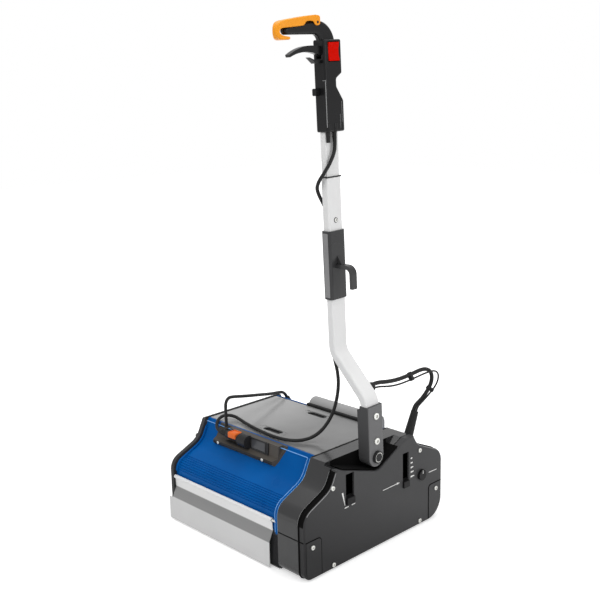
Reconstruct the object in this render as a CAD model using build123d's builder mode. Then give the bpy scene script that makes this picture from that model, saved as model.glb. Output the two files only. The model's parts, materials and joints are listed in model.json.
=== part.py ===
from build123d import *
import math
import os

os.makedirs("parts", exist_ok=True)

# A walk-behind floor scrubber with two contra-rotating brush rollers, in millimetres.
# X is across the machine, with the drive side at +X. -Y is the front. Z is up from the floor.

# Body envelope
half_width = 218.0
front_depth = 211.0
rear_depth = 221.0
body_top = 217.0
body_bottom = 3.0
plate_thickness = 12.0
wall = 4.0
edge_round = 3.0

# Side outline: each end rises, rounds over a shoulder, ramps inwards and climbs to the top
front_shoulder_z = 118.0
rear_shoulder_z = 133.5
shoulder_radius = 34.0
shoulder_slope = 24.0
front_ramp = 45.0
rear_ramp = 56.0
foot_radius = 45.0
neck_slope = 64.0
front_corner_radius = 18.0
rear_corner_radius = 45.0

# Drive side: a deep housing, a seal and an outer cover
housing_depth = 61.0
seal_gap = 2.0
cover_depth = 15.0
seal_inset = 1.5
pocket_radius = 30.0
pocket_front_slope = 17.5
pocket_rear_slope = 26.0
pocket_depth = 36.0

# Brush rollers and pick-up drum
brush_y = 134.0
brush_z = 58.0
brush_radius = 56.0
drum_z = 72.0
drum_radius = 56.0
core_radius = 22.0
sleeve_wall = 3.0
shaft_radius = 8.0
shaft_fit = 0.05
roller_end_gap = 1.0
bush_radius = 13.0
bush_depth = 10.0
bush_flange_radius = 17.0
bush_flange = 3.0
boss_radius = 30.0
boss_height = 6.0
boss_taper = 8.0
strand_size = 3.6
strand_sides = 3
strand_root = 1.5
strand_rings = 18
strands_per_ring = 10
strand_twist = 13.0
strand_margin = 8.0
vane_count = 6
vane_width = 5.0
drum_core_radius = 30.0

# Belt drive
belt_width = 14.0
belt_thickness = 3.0
belt_gap = 0.3
pulley_radius = 26.0
motor_pulley_radius = 13.0
tensioner_radius = 12.0
pulley_rim = 4.0
pulley_rim_width = 1.0
pulley_offset = 7.0
motor_y = 50.0
motor_z = 122.0
motor_radius = 38.0
motor_length = 42.0
motor_gap = 3.0
motor_shaft_radius = 5.0
motor_fit = 0.1
motor_shaft_depth = 20.0
motor_feet_radius = 33.0
motor_foot_size = 4.0
motor_feet_angles = (45, 130, 250)
tensioner_y = -184.0
tensioner_z = 74.0
tensioner_pin_radius = 5.0

# Covers over the rollers
cover_inset = 9.0
cover_sheet = 3.0
cover_lower_edge = 75.0
groove_count = 8
groove_pitch = 5.4
groove_radius = 1.6
groove_margin = 8.0
hood_front_y = 117.0
hood_length = 40.0
hood_width = 205.0
hood_side_gap = 35.0
hood_top = 232.0
hood_round = 19.0
hood_wall = 3.0
hood_seat = 172.0

# Lid and tanks
lid_front_set = 111.5
lid_hinge_y = 106.0
lid_sheet = 3.0
lid_side_gap = 1.5
lid_knuckle_radius = 3.5
lid_rod_radius = 1.6
lid_slot_length = 84.0
lid_slot_width = 18.0
lid_slot_x = -33.0
lid_front_slot_y = -60.0
lid_rear_slot_y = 78.0
lid_rim_depth = 4.0
lid_rim_inset = 7.0
bar_size = 20.0
bar_wall = 2.0
bar_y = 70.0
bar_top = 148.0
tank_wall = 2.5
tank_top = 208.0
tank_side_gap = 4.0
tank_gap = 4.0
recovery_front_gap = 2.5
recovery_rear_y = 2.0
solution_rear_y = 98.0
tank_round = 8.0
filler_side = 113.0
filler_radius = 18.0
cap_radius = 22.0
cap_height = 4.5
cap_sides = 12
filler_height = 3.0
cap_fit = 0.3

# Splash visors, bent from sheet and hung on rods
visor_sheet = 1.5
visor_proud = 6.0
visor_bottom = 3.0
visor_fold_low = 58.0
visor_fold_high = 80.0
visor_fold_set = 11.0
visor_rod_z = 104.0
visor_rod_radius = 2.5
visor_rod_fit = 0.3
visor_knuckle = 4.2
visor_cover_gap = 0.8
visor_drive_gap = 20.0
visor_plate_gap = 1.0
visor_bend = 3.0
rod_seat = 5.0

# Spray bar, glides and screws
spray_y = -150.0
spray_z = 132.0
spray_radius = 6.0
spray_bore = 4.5
spray_holes = 9
spray_hole_radius = 1.0
glide_length = 34.0
glide_y = 145.0
glide_round = 4.0
glide_width = 9.0
drive_glide_width = 30.0
drive_glide_set = 35.0
screw_head_radius = 5.0
screw_head = 2.5
screw_radius = 2.5
screw_length = 9.0
cover_screws = ((-130, 177), (-131, 12), (144, 12), (143, 178))
plate_screws = ((-190, 72), (199, 72))
corner_plate_length = 46.0
corner_plate_top = 86.0
corner_plate_round = 8.0
corner_plate_inset = 4.0
corner_plate_recess = 2.0
corner_plate_proud = 1.0

# Levers and dial on the drive cover
water_slot_y = -80.0
water_slot_bottom = 128.0
water_slot_top = 194.0
water_slot_width = 24.0
pressure_slot_y = 96.0
pressure_slot_bottom = 107.0
pressure_slot_top = 186.0
pressure_slot_width = 20.0
lever_gap = 0.6
lever_tab = 14.0
lever_proud = 4.0
lever_back = 3.5
lever_lip = 3.0
dial_y = 148.0
dial_z = 120.0
dial_radius = 12.0
dial_height = 6.0
dial_shaft_radius = 4.0
dial_fit = 0.3
dial_grips = 12
dial_grip_radius = 1.2
dial_disc = 3.0

# Pivot and clevis at the foot of the pole
pivot_y = 4.0
pivot_z = 204.0
lean = 2.2
pivot_shaft_radius = 6.6
pivot_head_radius = 13.0
pivot_head = 6.0
pivot_boss_radius = 12.5
pivot_bush_radius = 8.5
pivot_bush_length = 24.0
pivot_flange_radius = 13.0
pivot_flange = 3.5
pivot_collar_radius = 8.5
pivot_collar = 4.0
pivot_end_gap = 0.5
clevis_width = 44.0
clevis_thickness = 31.0
clevis_setback = 1.0
clevis_length = 112.0
clevis_round = 3.0
clevis_inner_length = 104.0
clevis_slot_bottom = 25.0
clevis_fit = 0.1
clevis_bolt_heights = (35.0, 90.0)
bolt_radius = 4.0
bolt_head_radius = 7.5
bolt_head = 3.5
nut_radius = 6.5
nut_height = 3.0
nut_sides = 6

# Pole
tube_width = 40.0
tube_depth = 18.0
tube_wall = 1.5
tube_round = 4.0
tube_fit = 0.2
pole_x = 117.0
bend_angle = 43.0
bend_radius = 36.0
bend_height = 123.0
lower_tube_top = 577.0
upper_tube_foot = 480.0
upper_tube_top = 720.0
sleeve_foot = 327.0
sleeve_top = 469.0
sleeve_side = 3.0
sleeve_front = 3.5
sleeve_round = 6.0
cable_radius = 3.75
cable_slot = 9.0
hook_height = 396.0
hook_reach = 43.0
hook_drop = 44.0
hook_thick = 8.0
hook_width = 14.0
hook_bend = 14.0
gusset_reach = 15.0
gusset_rise = 24.0
gusset_width = 7.0
lock_height = 490.0
lock_head_radius = 4.0
lock_head = 1.5
lock_radius = 2.0
cable_line_across = -4.0
cable_line_foot = 240.0
cable_line_top = 496.0
cable_gap = 0.2
grommet_height = 140.0
grommet_radius = 10.0
grommet_length = 6.0
grommet_spigot = 6.5
grommet_spread = 4.6

# Control head
head_foot = 666.0
head_set = 3.5
head_half = 15.5
head_wall = 2.6
head_round = 4.0
head_corner = 3.0
head_waist_round = 9.0
head_step_round = 6.0
head_front = -23.0
head_back = 27.0
belly_top = 726.0
waist_back = 9.0
waist_low = 753.0
waist_high = 768.0
shoulder_back = 25.0
shoulder_low = 778.0
head_top = 842.0
grip_half = 8.5
grip_round = 6.0
grip_root = 10.0
grip_set = 0.4
grip_back_set = 8.0
grip_tip = -116.0
grip_under = 852.0
grip_tip_height = 15.0
grip_neck_height = 25.0
grip_inner_radius = 15.0
grip_neck = -34.0
spur_length = 30.0
spur_low = 798.0
spur_high = 810.0
spur_half = 6.0
trigger_across = -16.0
trigger_height = 818.0
trigger_half = 6.0
trigger_gap = 0.6
trigger_hub = 9.0
trigger_tip = -106.0
trigger_drop = 2.0
trigger_rise = 13.0
trigger_thick = 11.0
trigger_nose = 6.5
trigger_slot = 24.0
trigger_slot_depth = 10.4
pin_radius = 2.5
pin_fit = 0.1
safety_across = -33.0
safety_height = 874.0
safety_half = 12.0
safety_gap = 1.0
safety_thick = 7.0
safety_drop = 3.0
safety_end = -25.0
safety_ridge = 888.0
safety_tip = -134.0
safety_tip_wall = 10.0
safety_tip_drop = 5.0
safety_hook_low = 843.0
safety_hook_thick = 5.0
safety_hook_tip = -99.0
safety_skirt_low = 866.0
safety_skirt_end = -62.0
safety_ear_half = 7.0
safety_rounds = (1.5, 2.5, 4.0, 16.0, 7.0, 2.0, 2.0, 4.0, 6.0, 3.0)
rocker_across = 2.0
rocker_height = 819.0
rocker_width = 28.0
rocker_length = 35.0
rocker_gap = 0.4
rocker_end_gap = 1.4
rocker_depth = 8.0
rocker_proud = 2.5
rocker_dish = 2.0
rocker_dish_radius = 54.0
rocker_pin_depth = 7.0
rocker_pin_radius = 1.3
rocker_pin_proud = 1.0
button_height = 744.0
button_set = 5.0
button_width = 10.0
button_length = 14.0
button_round = 3.0
button_proud = 12.0
button_depth = 8.0
button_gap = 0.4
button_flange = 2.0
button_flange_sheet = 2.0
gland_x = 131.0
gland_acrosses = (-17.0, 1.0)
gland_radius = 4.6
gland_taper = 1.4
gland_length = 20.0

# Connector on the front cover
flange_left_x = -157.0
flange_right_x = 63.0
flange_top_set = 8.0
flange_foot_set = 22.0
flange_foot_z = 190.0
flange_corner_x = 40.0
flange_corner_set = 6.5
lip_set = 32.5
lip_low = 177.0
lip_high = 184.0
lip_heel_set = 27.0
lip_heel_z = 172.0
box_left_x = -115.0
box_right_x = 50.0
box_top_set = 20.0
plug_set = 26.5
plug_z = 206.0
plug_radius = 11.0
plug_length = 46.0
plug_nose_radius = 8.0
plug_nose_length = 12.0
plug_gap = 0.5
plug_left_x = -112.0
socket_length = 26.0
bay_clear = 3.0
jumper_gland_x = -129.0
jumper_gland_set = 15.0
jumper_gland_foot = 190.0
jumper_gland_top = 216.6
jumper_gland_radius = 6.0
jumper_gland_taper = 3.0

# Rubber boots where cords enter the body
boot_side = 26.0
boot_y = 129.0
boot_z = 193.0
boot_tilt = 24.0
boot_length = 72.0
boot_base_radius = 11.0
boot_taper = 2.2
cord_spread = 4.0
jumper_end_side = 18.0
jumper_end_y = 128.0
jumper_end_z = 212.0
jumper_boot_tilt = 27.0
jumper_boot_radius = 6.5
jumper_boot_taper = -5.0
jumper_boot_length = 30.0

# Cords
hose_radius = 4.5
cord_bend = 0.45
wire_radius = 2.0
loop_lead = 22.0
plug_lead = 19.0
grommet_lead = 18.0
jumper_lead = 18.0
boot_lead = 10.0

# Derived places
left_inner_x = -half_width + plate_thickness
cover_inner_x = half_width - cover_depth
housing_outer_x = cover_inner_x - seal_gap
housing_inner_x = housing_outer_x - housing_depth
pocket_floor_x = half_width - pocket_depth
inner_width = housing_inner_x - left_inner_x
brush_axes = ((-brush_y, brush_z), (brush_y, brush_z), (0, drum_z))
pulley_x = housing_inner_x + pulley_offset
pulley_width = belt_width + 2 * (pulley_rim_width + belt_gap)
motor_x = pulley_x + pulley_width + motor_gap
pivot = Vector(0, pivot_y, pivot_z)
pole_up = Vector(0, -math.sin(math.radians(lean)), math.cos(math.radians(lean)))
pole_back = Vector(0, math.cos(math.radians(lean)), math.sin(math.radians(lean)))
clevis_outer_x = half_width - clevis_setback
clevis_inner_x = clevis_outer_x - clevis_thickness
clevis_tube_x = (clevis_outer_x + clevis_inner_x) / 2
bend_rise = (clevis_tube_x - pole_x) / math.tan(math.radians(bend_angle))
lid_front_y = lid_front_set - front_depth
rod_set = visor_cover_gap + visor_knuckle - cover_inset
visor_rods = ((-front_depth - rod_set, visor_rod_z), (rear_depth + rod_set, visor_rod_z))
screw_places = cover_screws + plate_screws
head_x = pole_x + head_set
lid_rod_z = body_top - lid_knuckle_radius


def save(piece, name):
    """Label a finished piece and write it out."""
    piece.part.label = name
    export_step(piece.part, f"parts/{name}.step")


def side_plane(x):
    """A plane across the machine at x, drawn in (Y, Z)."""
    return Plane.YZ.offset(x)


def pole_point(x, across, height):
    """A point given along the leaning pole, from its pivot."""
    return Vector(x, 0, 0) + pivot + pole_back * across + pole_up * height


def pole_section(height):
    """A plane square to the pole, drawn in (X, across)."""
    return Plane(origin=pole_point(0, 0, height), x_dir=(1, 0, 0), z_dir=pole_up)


def pole_side(x):
    """A plane along the pole, facing +X, drawn in (across, height)."""
    return Plane(origin=pole_point(x, 0, 0), x_dir=pole_back, z_dir=(1, 0, 0))


def pole_front(across):
    """A plane along the pole, facing forwards, drawn in (X, height)."""
    return Plane(origin=pole_point(0, across, 0), x_dir=(1, 0, 0), z_dir=-pole_back)


def end_depth(side):
    """How far the front (-1) or rear (+1) end stands from the middle."""
    return front_depth if side < 0 else rear_depth


def shoulder(side, inset, top):
    """Draw the front (-1) or rear (+1) end of the side outline and return its two ends."""
    rise = front_shoulder_z if side < 0 else rear_shoulder_z
    ramp_length = front_ramp if side < 0 else rear_ramp
    start = Vector(side * (end_depth(side) - inset), rise)
    over = JernArc(start, (0, 1), shoulder_radius - inset, side * (90 - shoulder_slope))
    ramp = Line(over @ 1, over @ 1 + (over % 1) * ramp_length)
    foot = JernArc(ramp @ 1, ramp % 1, foot_radius + inset, side * (shoulder_slope - neck_slope))
    heading = foot % 1
    neck = Line(foot @ 1, foot @ 1 + heading * ((top - (foot @ 1).Y) / heading.Y))
    return start, neck @ 1


def panel_face(inset=0.0):
    """Fill the whole side outline, drawn in by inset."""
    top = body_top - inset
    bottom = body_bottom + inset
    with BuildLine() as outline:
        front, front_top = shoulder(-1, inset, top)
        rear, rear_top = shoulder(1, inset, top)
        Line(front_top, rear_top)
        FilletPolyline(
            front,
            (front.X, bottom),
            (rear.X, bottom),
            rear,
            radius=(front_corner_radius - inset, rear_corner_radius - inset),
        )
    make_face(outline.edges())


def pivot_pocket(grow=0.0, mode=Mode.SUBTRACT):
    """The V that the pole swings in, round the pivot and open at the top."""
    radius = pocket_radius + grow
    reach = front_depth
    high = 2 * body_top
    with BuildLine() as outline:
        feet = []
        for side, slope in ((-1, pocket_front_slope), (1, pocket_rear_slope)):
            tilt = math.radians(slope)
            foot = Vector(pivot_y + side * radius * math.sin(tilt), pivot_z - radius * math.cos(tilt))
            end = foot + Vector(side * reach, reach * math.tan(tilt))
            Polyline(foot, end, (end.X, high))
            feet.append(foot)
        ThreePointArc(feet[0], (pivot_y, pivot_z - radius), feet[1])
        Line((feet[0].X - reach, high), (feet[1].X + reach, high))
    make_face(outline.edges(), mode=mode)


def cover_face(side):
    """The section of a roller cover: a sheet along the side outline, down to its lower edge."""
    with BuildLine() as outline:
        outer, outer_top = shoulder(side, cover_inset, body_top)
        inner, inner_top = shoulder(side, cover_inset + cover_sheet, body_top)
        Line(outer_top, inner_top)
        Polyline(outer, (outer.X, cover_lower_edge), (inner.X, cover_lower_edge), inner)
    make_face(outline.edges())


# End plate and drive housing

with BuildPart() as left_end_plate:
    with BuildSketch(side_plane(-half_width)):
        panel_face()
    extrude(amount=plate_thickness)
    fillet(left_end_plate.faces().sort_by(Axis.X)[0].edges(), edge_round)
    with BuildSketch(side_plane(-half_width)):
        with Locations(*brush_axes):
            Circle(boss_radius)
    extrude(amount=-boss_height, taper=boss_taper)
    with BuildSketch(side_plane(left_inner_x)):
        with Locations(*brush_axes):
            Circle(bush_radius)
    extrude(amount=-bush_depth, mode=Mode.SUBTRACT)
    with BuildSketch(side_plane(left_inner_x)):
        with Locations(*visor_rods):
            Circle(visor_rod_radius)
        with Locations((lid_hinge_y, lid_rod_z)):
            Circle(lid_rod_radius)
    extrude(amount=-rod_seat, mode=Mode.SUBTRACT)
    with BuildSketch(side_plane(-half_width)):
        with Locations(*screw_places):
            Circle(screw_radius)
    extrude(amount=screw_length, mode=Mode.SUBTRACT)
save(left_end_plate, "left_end_plate")

with BuildPart() as drive_housing:
    with BuildSketch(side_plane(housing_inner_x)):
        panel_face()
    extrude(amount=pocket_floor_x - housing_inner_x)
    with BuildSketch(side_plane(pocket_floor_x)):
        panel_face()
        pivot_pocket()
    extrude(amount=housing_outer_x - pocket_floor_x)
    with BuildSketch(side_plane(housing_inner_x + wall)):
        panel_face(wall)
    extrude(amount=pocket_floor_x - housing_inner_x - 2 * wall, mode=Mode.SUBTRACT)
    with BuildSketch(side_plane(pocket_floor_x - wall)):
        panel_face(wall)
        pivot_pocket(wall)
    extrude(amount=housing_outer_x - pocket_floor_x + wall, mode=Mode.SUBTRACT)
    with BuildSketch(side_plane(housing_inner_x)):
        with Locations(*brush_axes):
            Circle(bush_radius)
        with Locations(*visor_rods):
            Circle(visor_rod_radius)
        with Locations((lid_hinge_y, lid_rod_z)):
            Circle(lid_rod_radius)
    extrude(amount=wall, mode=Mode.SUBTRACT)
    with BuildSketch(side_plane(pocket_floor_x)):
        with Locations((pivot_y, pivot_z)):
            Circle(pivot_boss_radius)
    extrude(amount=-pivot_bush_length)
    with BuildSketch(side_plane(pocket_floor_x)):
        with Locations((pivot_y, pivot_z)):
            Circle(pivot_bush_radius)
    extrude(amount=-pivot_bush_length, mode=Mode.SUBTRACT)
    with BuildSketch(side_plane(housing_inner_x + wall)):
        with Locations((tensioner_y, tensioner_z)):
            Circle(tensioner_pin_radius)
    extrude(amount=pulley_x + pulley_width - housing_inner_x - wall)
save(drive_housing, "drive_housing")

with BuildPart() as housing_seal:
    with BuildSketch(side_plane(housing_outer_x)):
        panel_face(seal_inset)
        pivot_pocket(seal_inset)
    extrude(amount=seal_gap)
    with BuildSketch(side_plane(housing_outer_x)):
        panel_face(wall)
        pivot_pocket(wall)
    extrude(amount=seal_gap, mode=Mode.SUBTRACT)
save(housing_seal, "housing_seal")


def slot_face(y, bottom, top, width):
    """One upright lever slot."""
    with Locations((y, (bottom + top) / 2)):
        Rectangle(width, top - bottom)


def corner_plate_face(side):
    """The access plate in a lower corner of the drive cover, with one round corner."""
    height = corner_plate_top - body_bottom
    panel_face(corner_plate_inset)
    with Locations((side * end_depth(side), body_bottom)):
        RectangleRounded(2 * corner_plate_length, 2 * height, corner_plate_round, mode=Mode.INTERSECT)


with BuildPart() as drive_cover:
    with BuildSketch(side_plane(cover_inner_x)):
        panel_face()
        pivot_pocket()
    extrude(amount=cover_depth)
    fillet(drive_cover.faces().sort_by(Axis.X)[-1].edges(), edge_round)
    with BuildSketch(side_plane(cover_inner_x)):
        panel_face(wall)
        pivot_pocket(wall)
    extrude(amount=cover_depth - wall, mode=Mode.SUBTRACT)
    with BuildSketch(side_plane(half_width)):
        slot_face(water_slot_y, water_slot_bottom, water_slot_top, water_slot_width)
        slot_face(pressure_slot_y, pressure_slot_bottom, pressure_slot_top, pressure_slot_width)
        with Locations((dial_y, dial_z)):
            Circle(dial_shaft_radius + dial_fit)
        with Locations(*screw_places):
            Circle(screw_radius)
    extrude(amount=-cover_depth, mode=Mode.SUBTRACT)
    for side in (-1, 1):
        with BuildSketch(side_plane(half_width)):
            corner_plate_face(side)
        extrude(amount=-corner_plate_recess, mode=Mode.SUBTRACT)
save(drive_cover, "drive_cover")

with BuildPart() as corner_plates:
    for side in (-1, 1):
        with BuildSketch(side_plane(half_width - corner_plate_recess)):
            corner_plate_face(side)
        extrude(amount=corner_plate_recess + corner_plate_proud)
    with BuildSketch(side_plane(half_width - corner_plate_recess)):
        with Locations(*plate_screws):
            Circle(screw_radius)
    extrude(amount=corner_plate_recess + corner_plate_proud, mode=Mode.SUBTRACT)
save(corner_plates, "corner_plates")

plate_face_x = half_width + corner_plate_proud
screw_rows = (
    (half_width, 1, cover_screws),
    (plate_face_x, 1, plate_screws),
    (-half_width, -1, screw_places),
)

with BuildPart() as body_screws:
    for x, out, places in screw_rows:
        with BuildSketch(side_plane(x)):
            with Locations(*places):
                Circle(screw_head_radius)
        extrude(amount=out * screw_head, taper=boss_taper)
        with BuildSketch(side_plane(x)):
            with Locations(*places):
                Circle(screw_radius)
        extrude(amount=-out * screw_length)
save(body_screws, "body_screws")

# Roller covers, hood and frame bars


def cover_point(side, along):
    """A point on the outer line of a roller cover, measured from the foot of its shoulder."""
    radius = shoulder_radius - cover_inset
    slope = math.radians(shoulder_slope)
    angle = min(along / radius, math.pi / 2 - slope)
    ramp = along - radius * angle
    rise = front_shoulder_z if side < 0 else rear_shoulder_z
    out = end_depth(side) - shoulder_radius + radius * math.cos(angle) - ramp * math.cos(slope)
    return side * out, rise + radius * math.sin(angle) + ramp * math.sin(slope)


def end_block_face(side, mode):
    """All that lies under the outer line of a roller cover."""
    with BuildLine() as outline:
        low, high = shoulder(side, cover_inset, body_top)
        Polyline(high, (0, body_top), (0, body_bottom), (low.X, body_bottom), low)
    make_face(outline.edges(), mode=mode)


def roller_cover(side):
    """A moulded cover over one brush, with grooves along its shoulder."""
    grooves = [cover_point(side, (i + 0.5) * groove_pitch) for i in range(groove_count)]
    with BuildPart() as cover:
        with BuildSketch(side_plane(left_inner_x)):
            cover_face(side)
        extrude(amount=inner_width)
        with BuildSketch(side_plane(left_inner_x + groove_margin)):
            with Locations(*grooves):
                Circle(groove_radius)
        extrude(amount=inner_width - 2 * groove_margin, mode=Mode.SUBTRACT)
    return cover


front_cover = roller_cover(-1)
save(front_cover, "front_cover")

rear_cover = roller_cover(1)
save(rear_cover, "rear_cover")

hood_left_x = housing_inner_x - hood_side_gap - hood_width


def hood_face(inset):
    """The round-topped section of the hood, drawn in by inset."""
    with Locations((hood_front_y + hood_length / 2, hood_seat)):
        RectangleRounded(
            hood_length - 2 * inset,
            2 * (hood_top - hood_seat - inset),
            hood_round - inset,
        )
    end_block_face(1, Mode.SUBTRACT)


with BuildPart() as rear_hood:
    with BuildSketch(side_plane(hood_left_x)):
        hood_face(0)
    extrude(amount=hood_width)
    with BuildSketch(side_plane(hood_left_x + hood_wall)):
        hood_face(hood_wall)
    extrude(amount=hood_width - 2 * hood_wall, mode=Mode.SUBTRACT)
save(rear_hood, "rear_hood")

with BuildPart() as cross_bars:
    with BuildSketch(side_plane(left_inner_x)):
        with Locations((-bar_y, bar_top - bar_size / 2), (bar_y, bar_top - bar_size / 2)):
            RectangleRounded(bar_size, bar_size, bar_wall)
            Rectangle(bar_size - 2 * bar_wall, bar_size - 2 * bar_wall, mode=Mode.SUBTRACT)
    extrude(amount=inner_width)
save(cross_bars, "cross_bars")

# Tanks and lid

tank_x = (left_inner_x + housing_inner_x) / 2
tank_length = inner_width - 2 * tank_side_gap
solution_front_y = recovery_rear_y + tank_gap
recovery_front_y = lid_front_y + recovery_front_gap
filler_x = tank_x + filler_side


def tank_face(front, rear, inset):
    """The plan of a tank, drawn in by inset."""
    with Locations((tank_x, (front + rear) / 2)):
        RectangleRounded(tank_length - 2 * inset, rear - front - 2 * inset, tank_round - inset)


with BuildPart() as recovery_tank:
    with BuildSketch(Plane.XY.offset(bar_top)):
        tank_face(recovery_front_y, recovery_rear_y, 0)
    extrude(amount=tank_top - bar_top)
    with BuildSketch(Plane.XY.offset(bar_top + tank_wall)):
        tank_face(recovery_front_y, recovery_rear_y, tank_wall)
    extrude(amount=tank_top - bar_top - tank_wall, mode=Mode.SUBTRACT)
save(recovery_tank, "recovery_tank")

filler_y = (solution_front_y + solution_rear_y) / 2
with BuildPart() as solution_tank:
    with BuildSketch(Plane.XY.offset(bar_top)):
        tank_face(solution_front_y, solution_rear_y, 0)
    extrude(amount=tank_top - bar_top)
    with BuildSketch(Plane.XY.offset(tank_top)):
        with Locations((filler_x, filler_y)):
            Circle(filler_radius)
    extrude(amount=filler_height)
    with BuildSketch(Plane.XY.offset(bar_top + tank_wall)):
        tank_face(solution_front_y, solution_rear_y, tank_wall)
    extrude(amount=tank_top - bar_top - 2 * tank_wall, mode=Mode.SUBTRACT)
    with BuildSketch(Plane.XY.offset(tank_top + filler_height)):
        with Locations((filler_x, filler_y)):
            Circle(filler_radius - tank_wall)
    extrude(amount=-filler_height - tank_wall, mode=Mode.SUBTRACT)
save(solution_tank, "solution_tank")

with BuildPart() as filler_cap:
    with BuildSketch(Plane.XY.offset(tank_top)):
        with Locations((filler_x, filler_y)):
            RegularPolygon(cap_radius, cap_sides)
    extrude(amount=cap_height)
    with BuildSketch(Plane.XY.offset(tank_top)):
        with Locations((filler_x, filler_y)):
            Circle(filler_radius + cap_fit)
    extrude(amount=filler_height, mode=Mode.SUBTRACT)
save(filler_cap, "filler_cap")

lid_left_x = left_inner_x + lid_side_gap
lid_width = inner_width - 2 * lid_side_gap
lid_middle_y = (lid_front_y + lid_hinge_y) / 2
lid_depth = lid_hinge_y - lid_front_y
with BuildPart() as lid:
    with BuildSketch(Plane.XY.offset(body_top - lid_sheet)):
        with Locations((tank_x, lid_middle_y)):
            Rectangle(lid_width, lid_depth)
    extrude(amount=lid_sheet)
    with BuildSketch(Plane.XY.offset(body_top - lid_sheet)):
        with Locations((tank_x, lid_middle_y)):
            Rectangle(lid_width - 2 * lid_rim_inset, lid_depth - 2 * lid_rim_inset)
            Rectangle(
                lid_width - 2 * lid_rim_inset - 2 * lid_sheet,
                lid_depth - 2 * lid_rim_inset - 2 * lid_sheet,
                mode=Mode.SUBTRACT,
            )
    extrude(amount=-lid_rim_depth)
    with BuildSketch(side_plane(lid_left_x)):
        with Locations((lid_hinge_y, lid_rod_z)):
            Circle(lid_knuckle_radius)
    extrude(amount=lid_width)
    with BuildSketch(side_plane(lid_left_x)):
        with Locations((lid_hinge_y, lid_rod_z)):
            Circle(lid_rod_radius + shaft_fit)
    extrude(amount=lid_width, mode=Mode.SUBTRACT)
    with BuildSketch(Plane.XY.offset(body_top)):
        with Locations((lid_slot_x, lid_front_slot_y), (lid_slot_x, lid_rear_slot_y)):
            SlotOverall(lid_slot_length, lid_slot_width)
    extrude(amount=-lid_sheet, mode=Mode.SUBTRACT)
save(lid, "lid")

with BuildPart() as hinge_rods:
    with BuildSketch(side_plane(left_inner_x - rod_seat)):
        with Locations(*visor_rods):
            Circle(visor_rod_radius)
        with Locations((lid_hinge_y, lid_rod_z)):
            Circle(lid_rod_radius)
    extrude(amount=inner_width + rod_seat + wall)
save(hinge_rods, "hinge_rods")

# Splash visors

visor_left_x = left_inner_x + visor_plate_gap
visor_right_x = housing_inner_x - visor_drive_gap


def splash_visor(side):
    """A folded sheet on a rod, whose lower strip runs on in front of the end plate."""
    visor_middle_y = end_depth(side) + visor_proud - visor_sheet / 2
    visor_rod_y = end_depth(side) + rod_set
    with BuildPart() as visor:
        with BuildSketch(side_plane(visor_left_x)):
            with BuildLine() as folds:
                FilletPolyline(
                    (side * visor_middle_y, visor_bottom),
                    (side * visor_middle_y, visor_fold_low),
                    (side * (visor_middle_y - visor_fold_set), visor_fold_high),
                    (side * visor_rod_y, visor_rod_z),
                    radius=visor_bend,
                )
            trace(folds.edges(), visor_sheet)
            with Locations((side * visor_rod_y, visor_rod_z)):
                Circle(visor_knuckle)
                Circle(visor_rod_radius + visor_rod_fit, mode=Mode.SUBTRACT)
        extrude(amount=visor_right_x - visor_left_x)
        with BuildSketch(side_plane(-half_width)):
            with Locations((side * visor_middle_y, (visor_bottom + visor_fold_low - visor_bend) / 2)):
                Rectangle(visor_sheet, visor_fold_low - visor_bend - visor_bottom)
        extrude(amount=visor_left_x + half_width)
    return visor


front_visor = splash_visor(-1)
save(front_visor, "front_visor")

rear_visor = splash_visor(1)
save(rear_visor, "rear_visor")

# Rollers, pick-up drum and their bushes

roller_left_x = left_inner_x + bush_flange + roller_end_gap
roller_right_x = housing_inner_x - bush_flange - roller_end_gap
roller_length = roller_right_x - roller_left_x
shaft_left_x = left_inner_x - bush_depth + roller_end_gap
shaft_length = pulley_x + pulley_width - shaft_left_x
drive_bush_depth = pulley_offset - roller_end_gap

with BuildPart() as roller_bushes:
    for x, out, depth in ((left_inner_x, -1, bush_depth), (housing_inner_x, 1, drive_bush_depth)):
        with BuildSketch(side_plane(x)):
            with Locations(*brush_axes):
                Circle(bush_radius)
        extrude(amount=out * depth)
        with BuildSketch(side_plane(x)):
            with Locations(*brush_axes):
                Circle(bush_flange_radius)
        extrude(amount=-out * bush_flange)
        with BuildSketch(side_plane(x - out * bush_flange)):
            with Locations(*brush_axes):
                Circle(shaft_radius + shaft_fit)
        extrude(amount=out * (bush_flange + depth), mode=Mode.SUBTRACT)
save(roller_bushes, "roller_bushes")


def brush_core(y):
    """The tube that carries the bristles, with its shaft."""
    with BuildPart() as core:
        with BuildSketch(side_plane(shaft_left_x)):
            with Locations((y, brush_z)):
                Circle(shaft_radius)
        extrude(amount=shaft_length)
        with BuildSketch(side_plane(roller_left_x)):
            with Locations((y, brush_z)):
                Circle(core_radius)
        extrude(amount=roller_length)
    return core


def bristle_planes(y):
    """A plane at the root of each strand, in rings that turn a little along the roller."""
    pitch = (roller_length - 2 * strand_margin) / (strand_rings - 1)
    root = core_radius + sleeve_wall - strand_root
    planes = []
    for ring in range(strand_rings):
        centre = Vector(roller_left_x + strand_margin + pitch * ring, y, brush_z)
        for strand in range(strands_per_ring):
            angle = math.radians(360 / strands_per_ring * strand + strand_twist * ring)
            out = Vector(0, math.cos(angle), math.sin(angle))
            planes.append(Plane(origin=centre + out * root, x_dir=(1, 0, 0), z_dir=out))
    return planes


def brush_bristles(y):
    """Three-sided strands on a thin backing sleeve."""
    with BuildPart() as bristles:
        with BuildSketch(side_plane(roller_left_x)):
            with Locations((y, brush_z)):
                Circle(core_radius + sleeve_wall)
                Circle(core_radius, mode=Mode.SUBTRACT)
        extrude(amount=roller_length)
        with BuildSketch(*bristle_planes(y)):
            RegularPolygon(strand_size / 2, strand_sides)
        extrude(amount=brush_radius - core_radius - sleeve_wall + strand_root)
    return bristles


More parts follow.
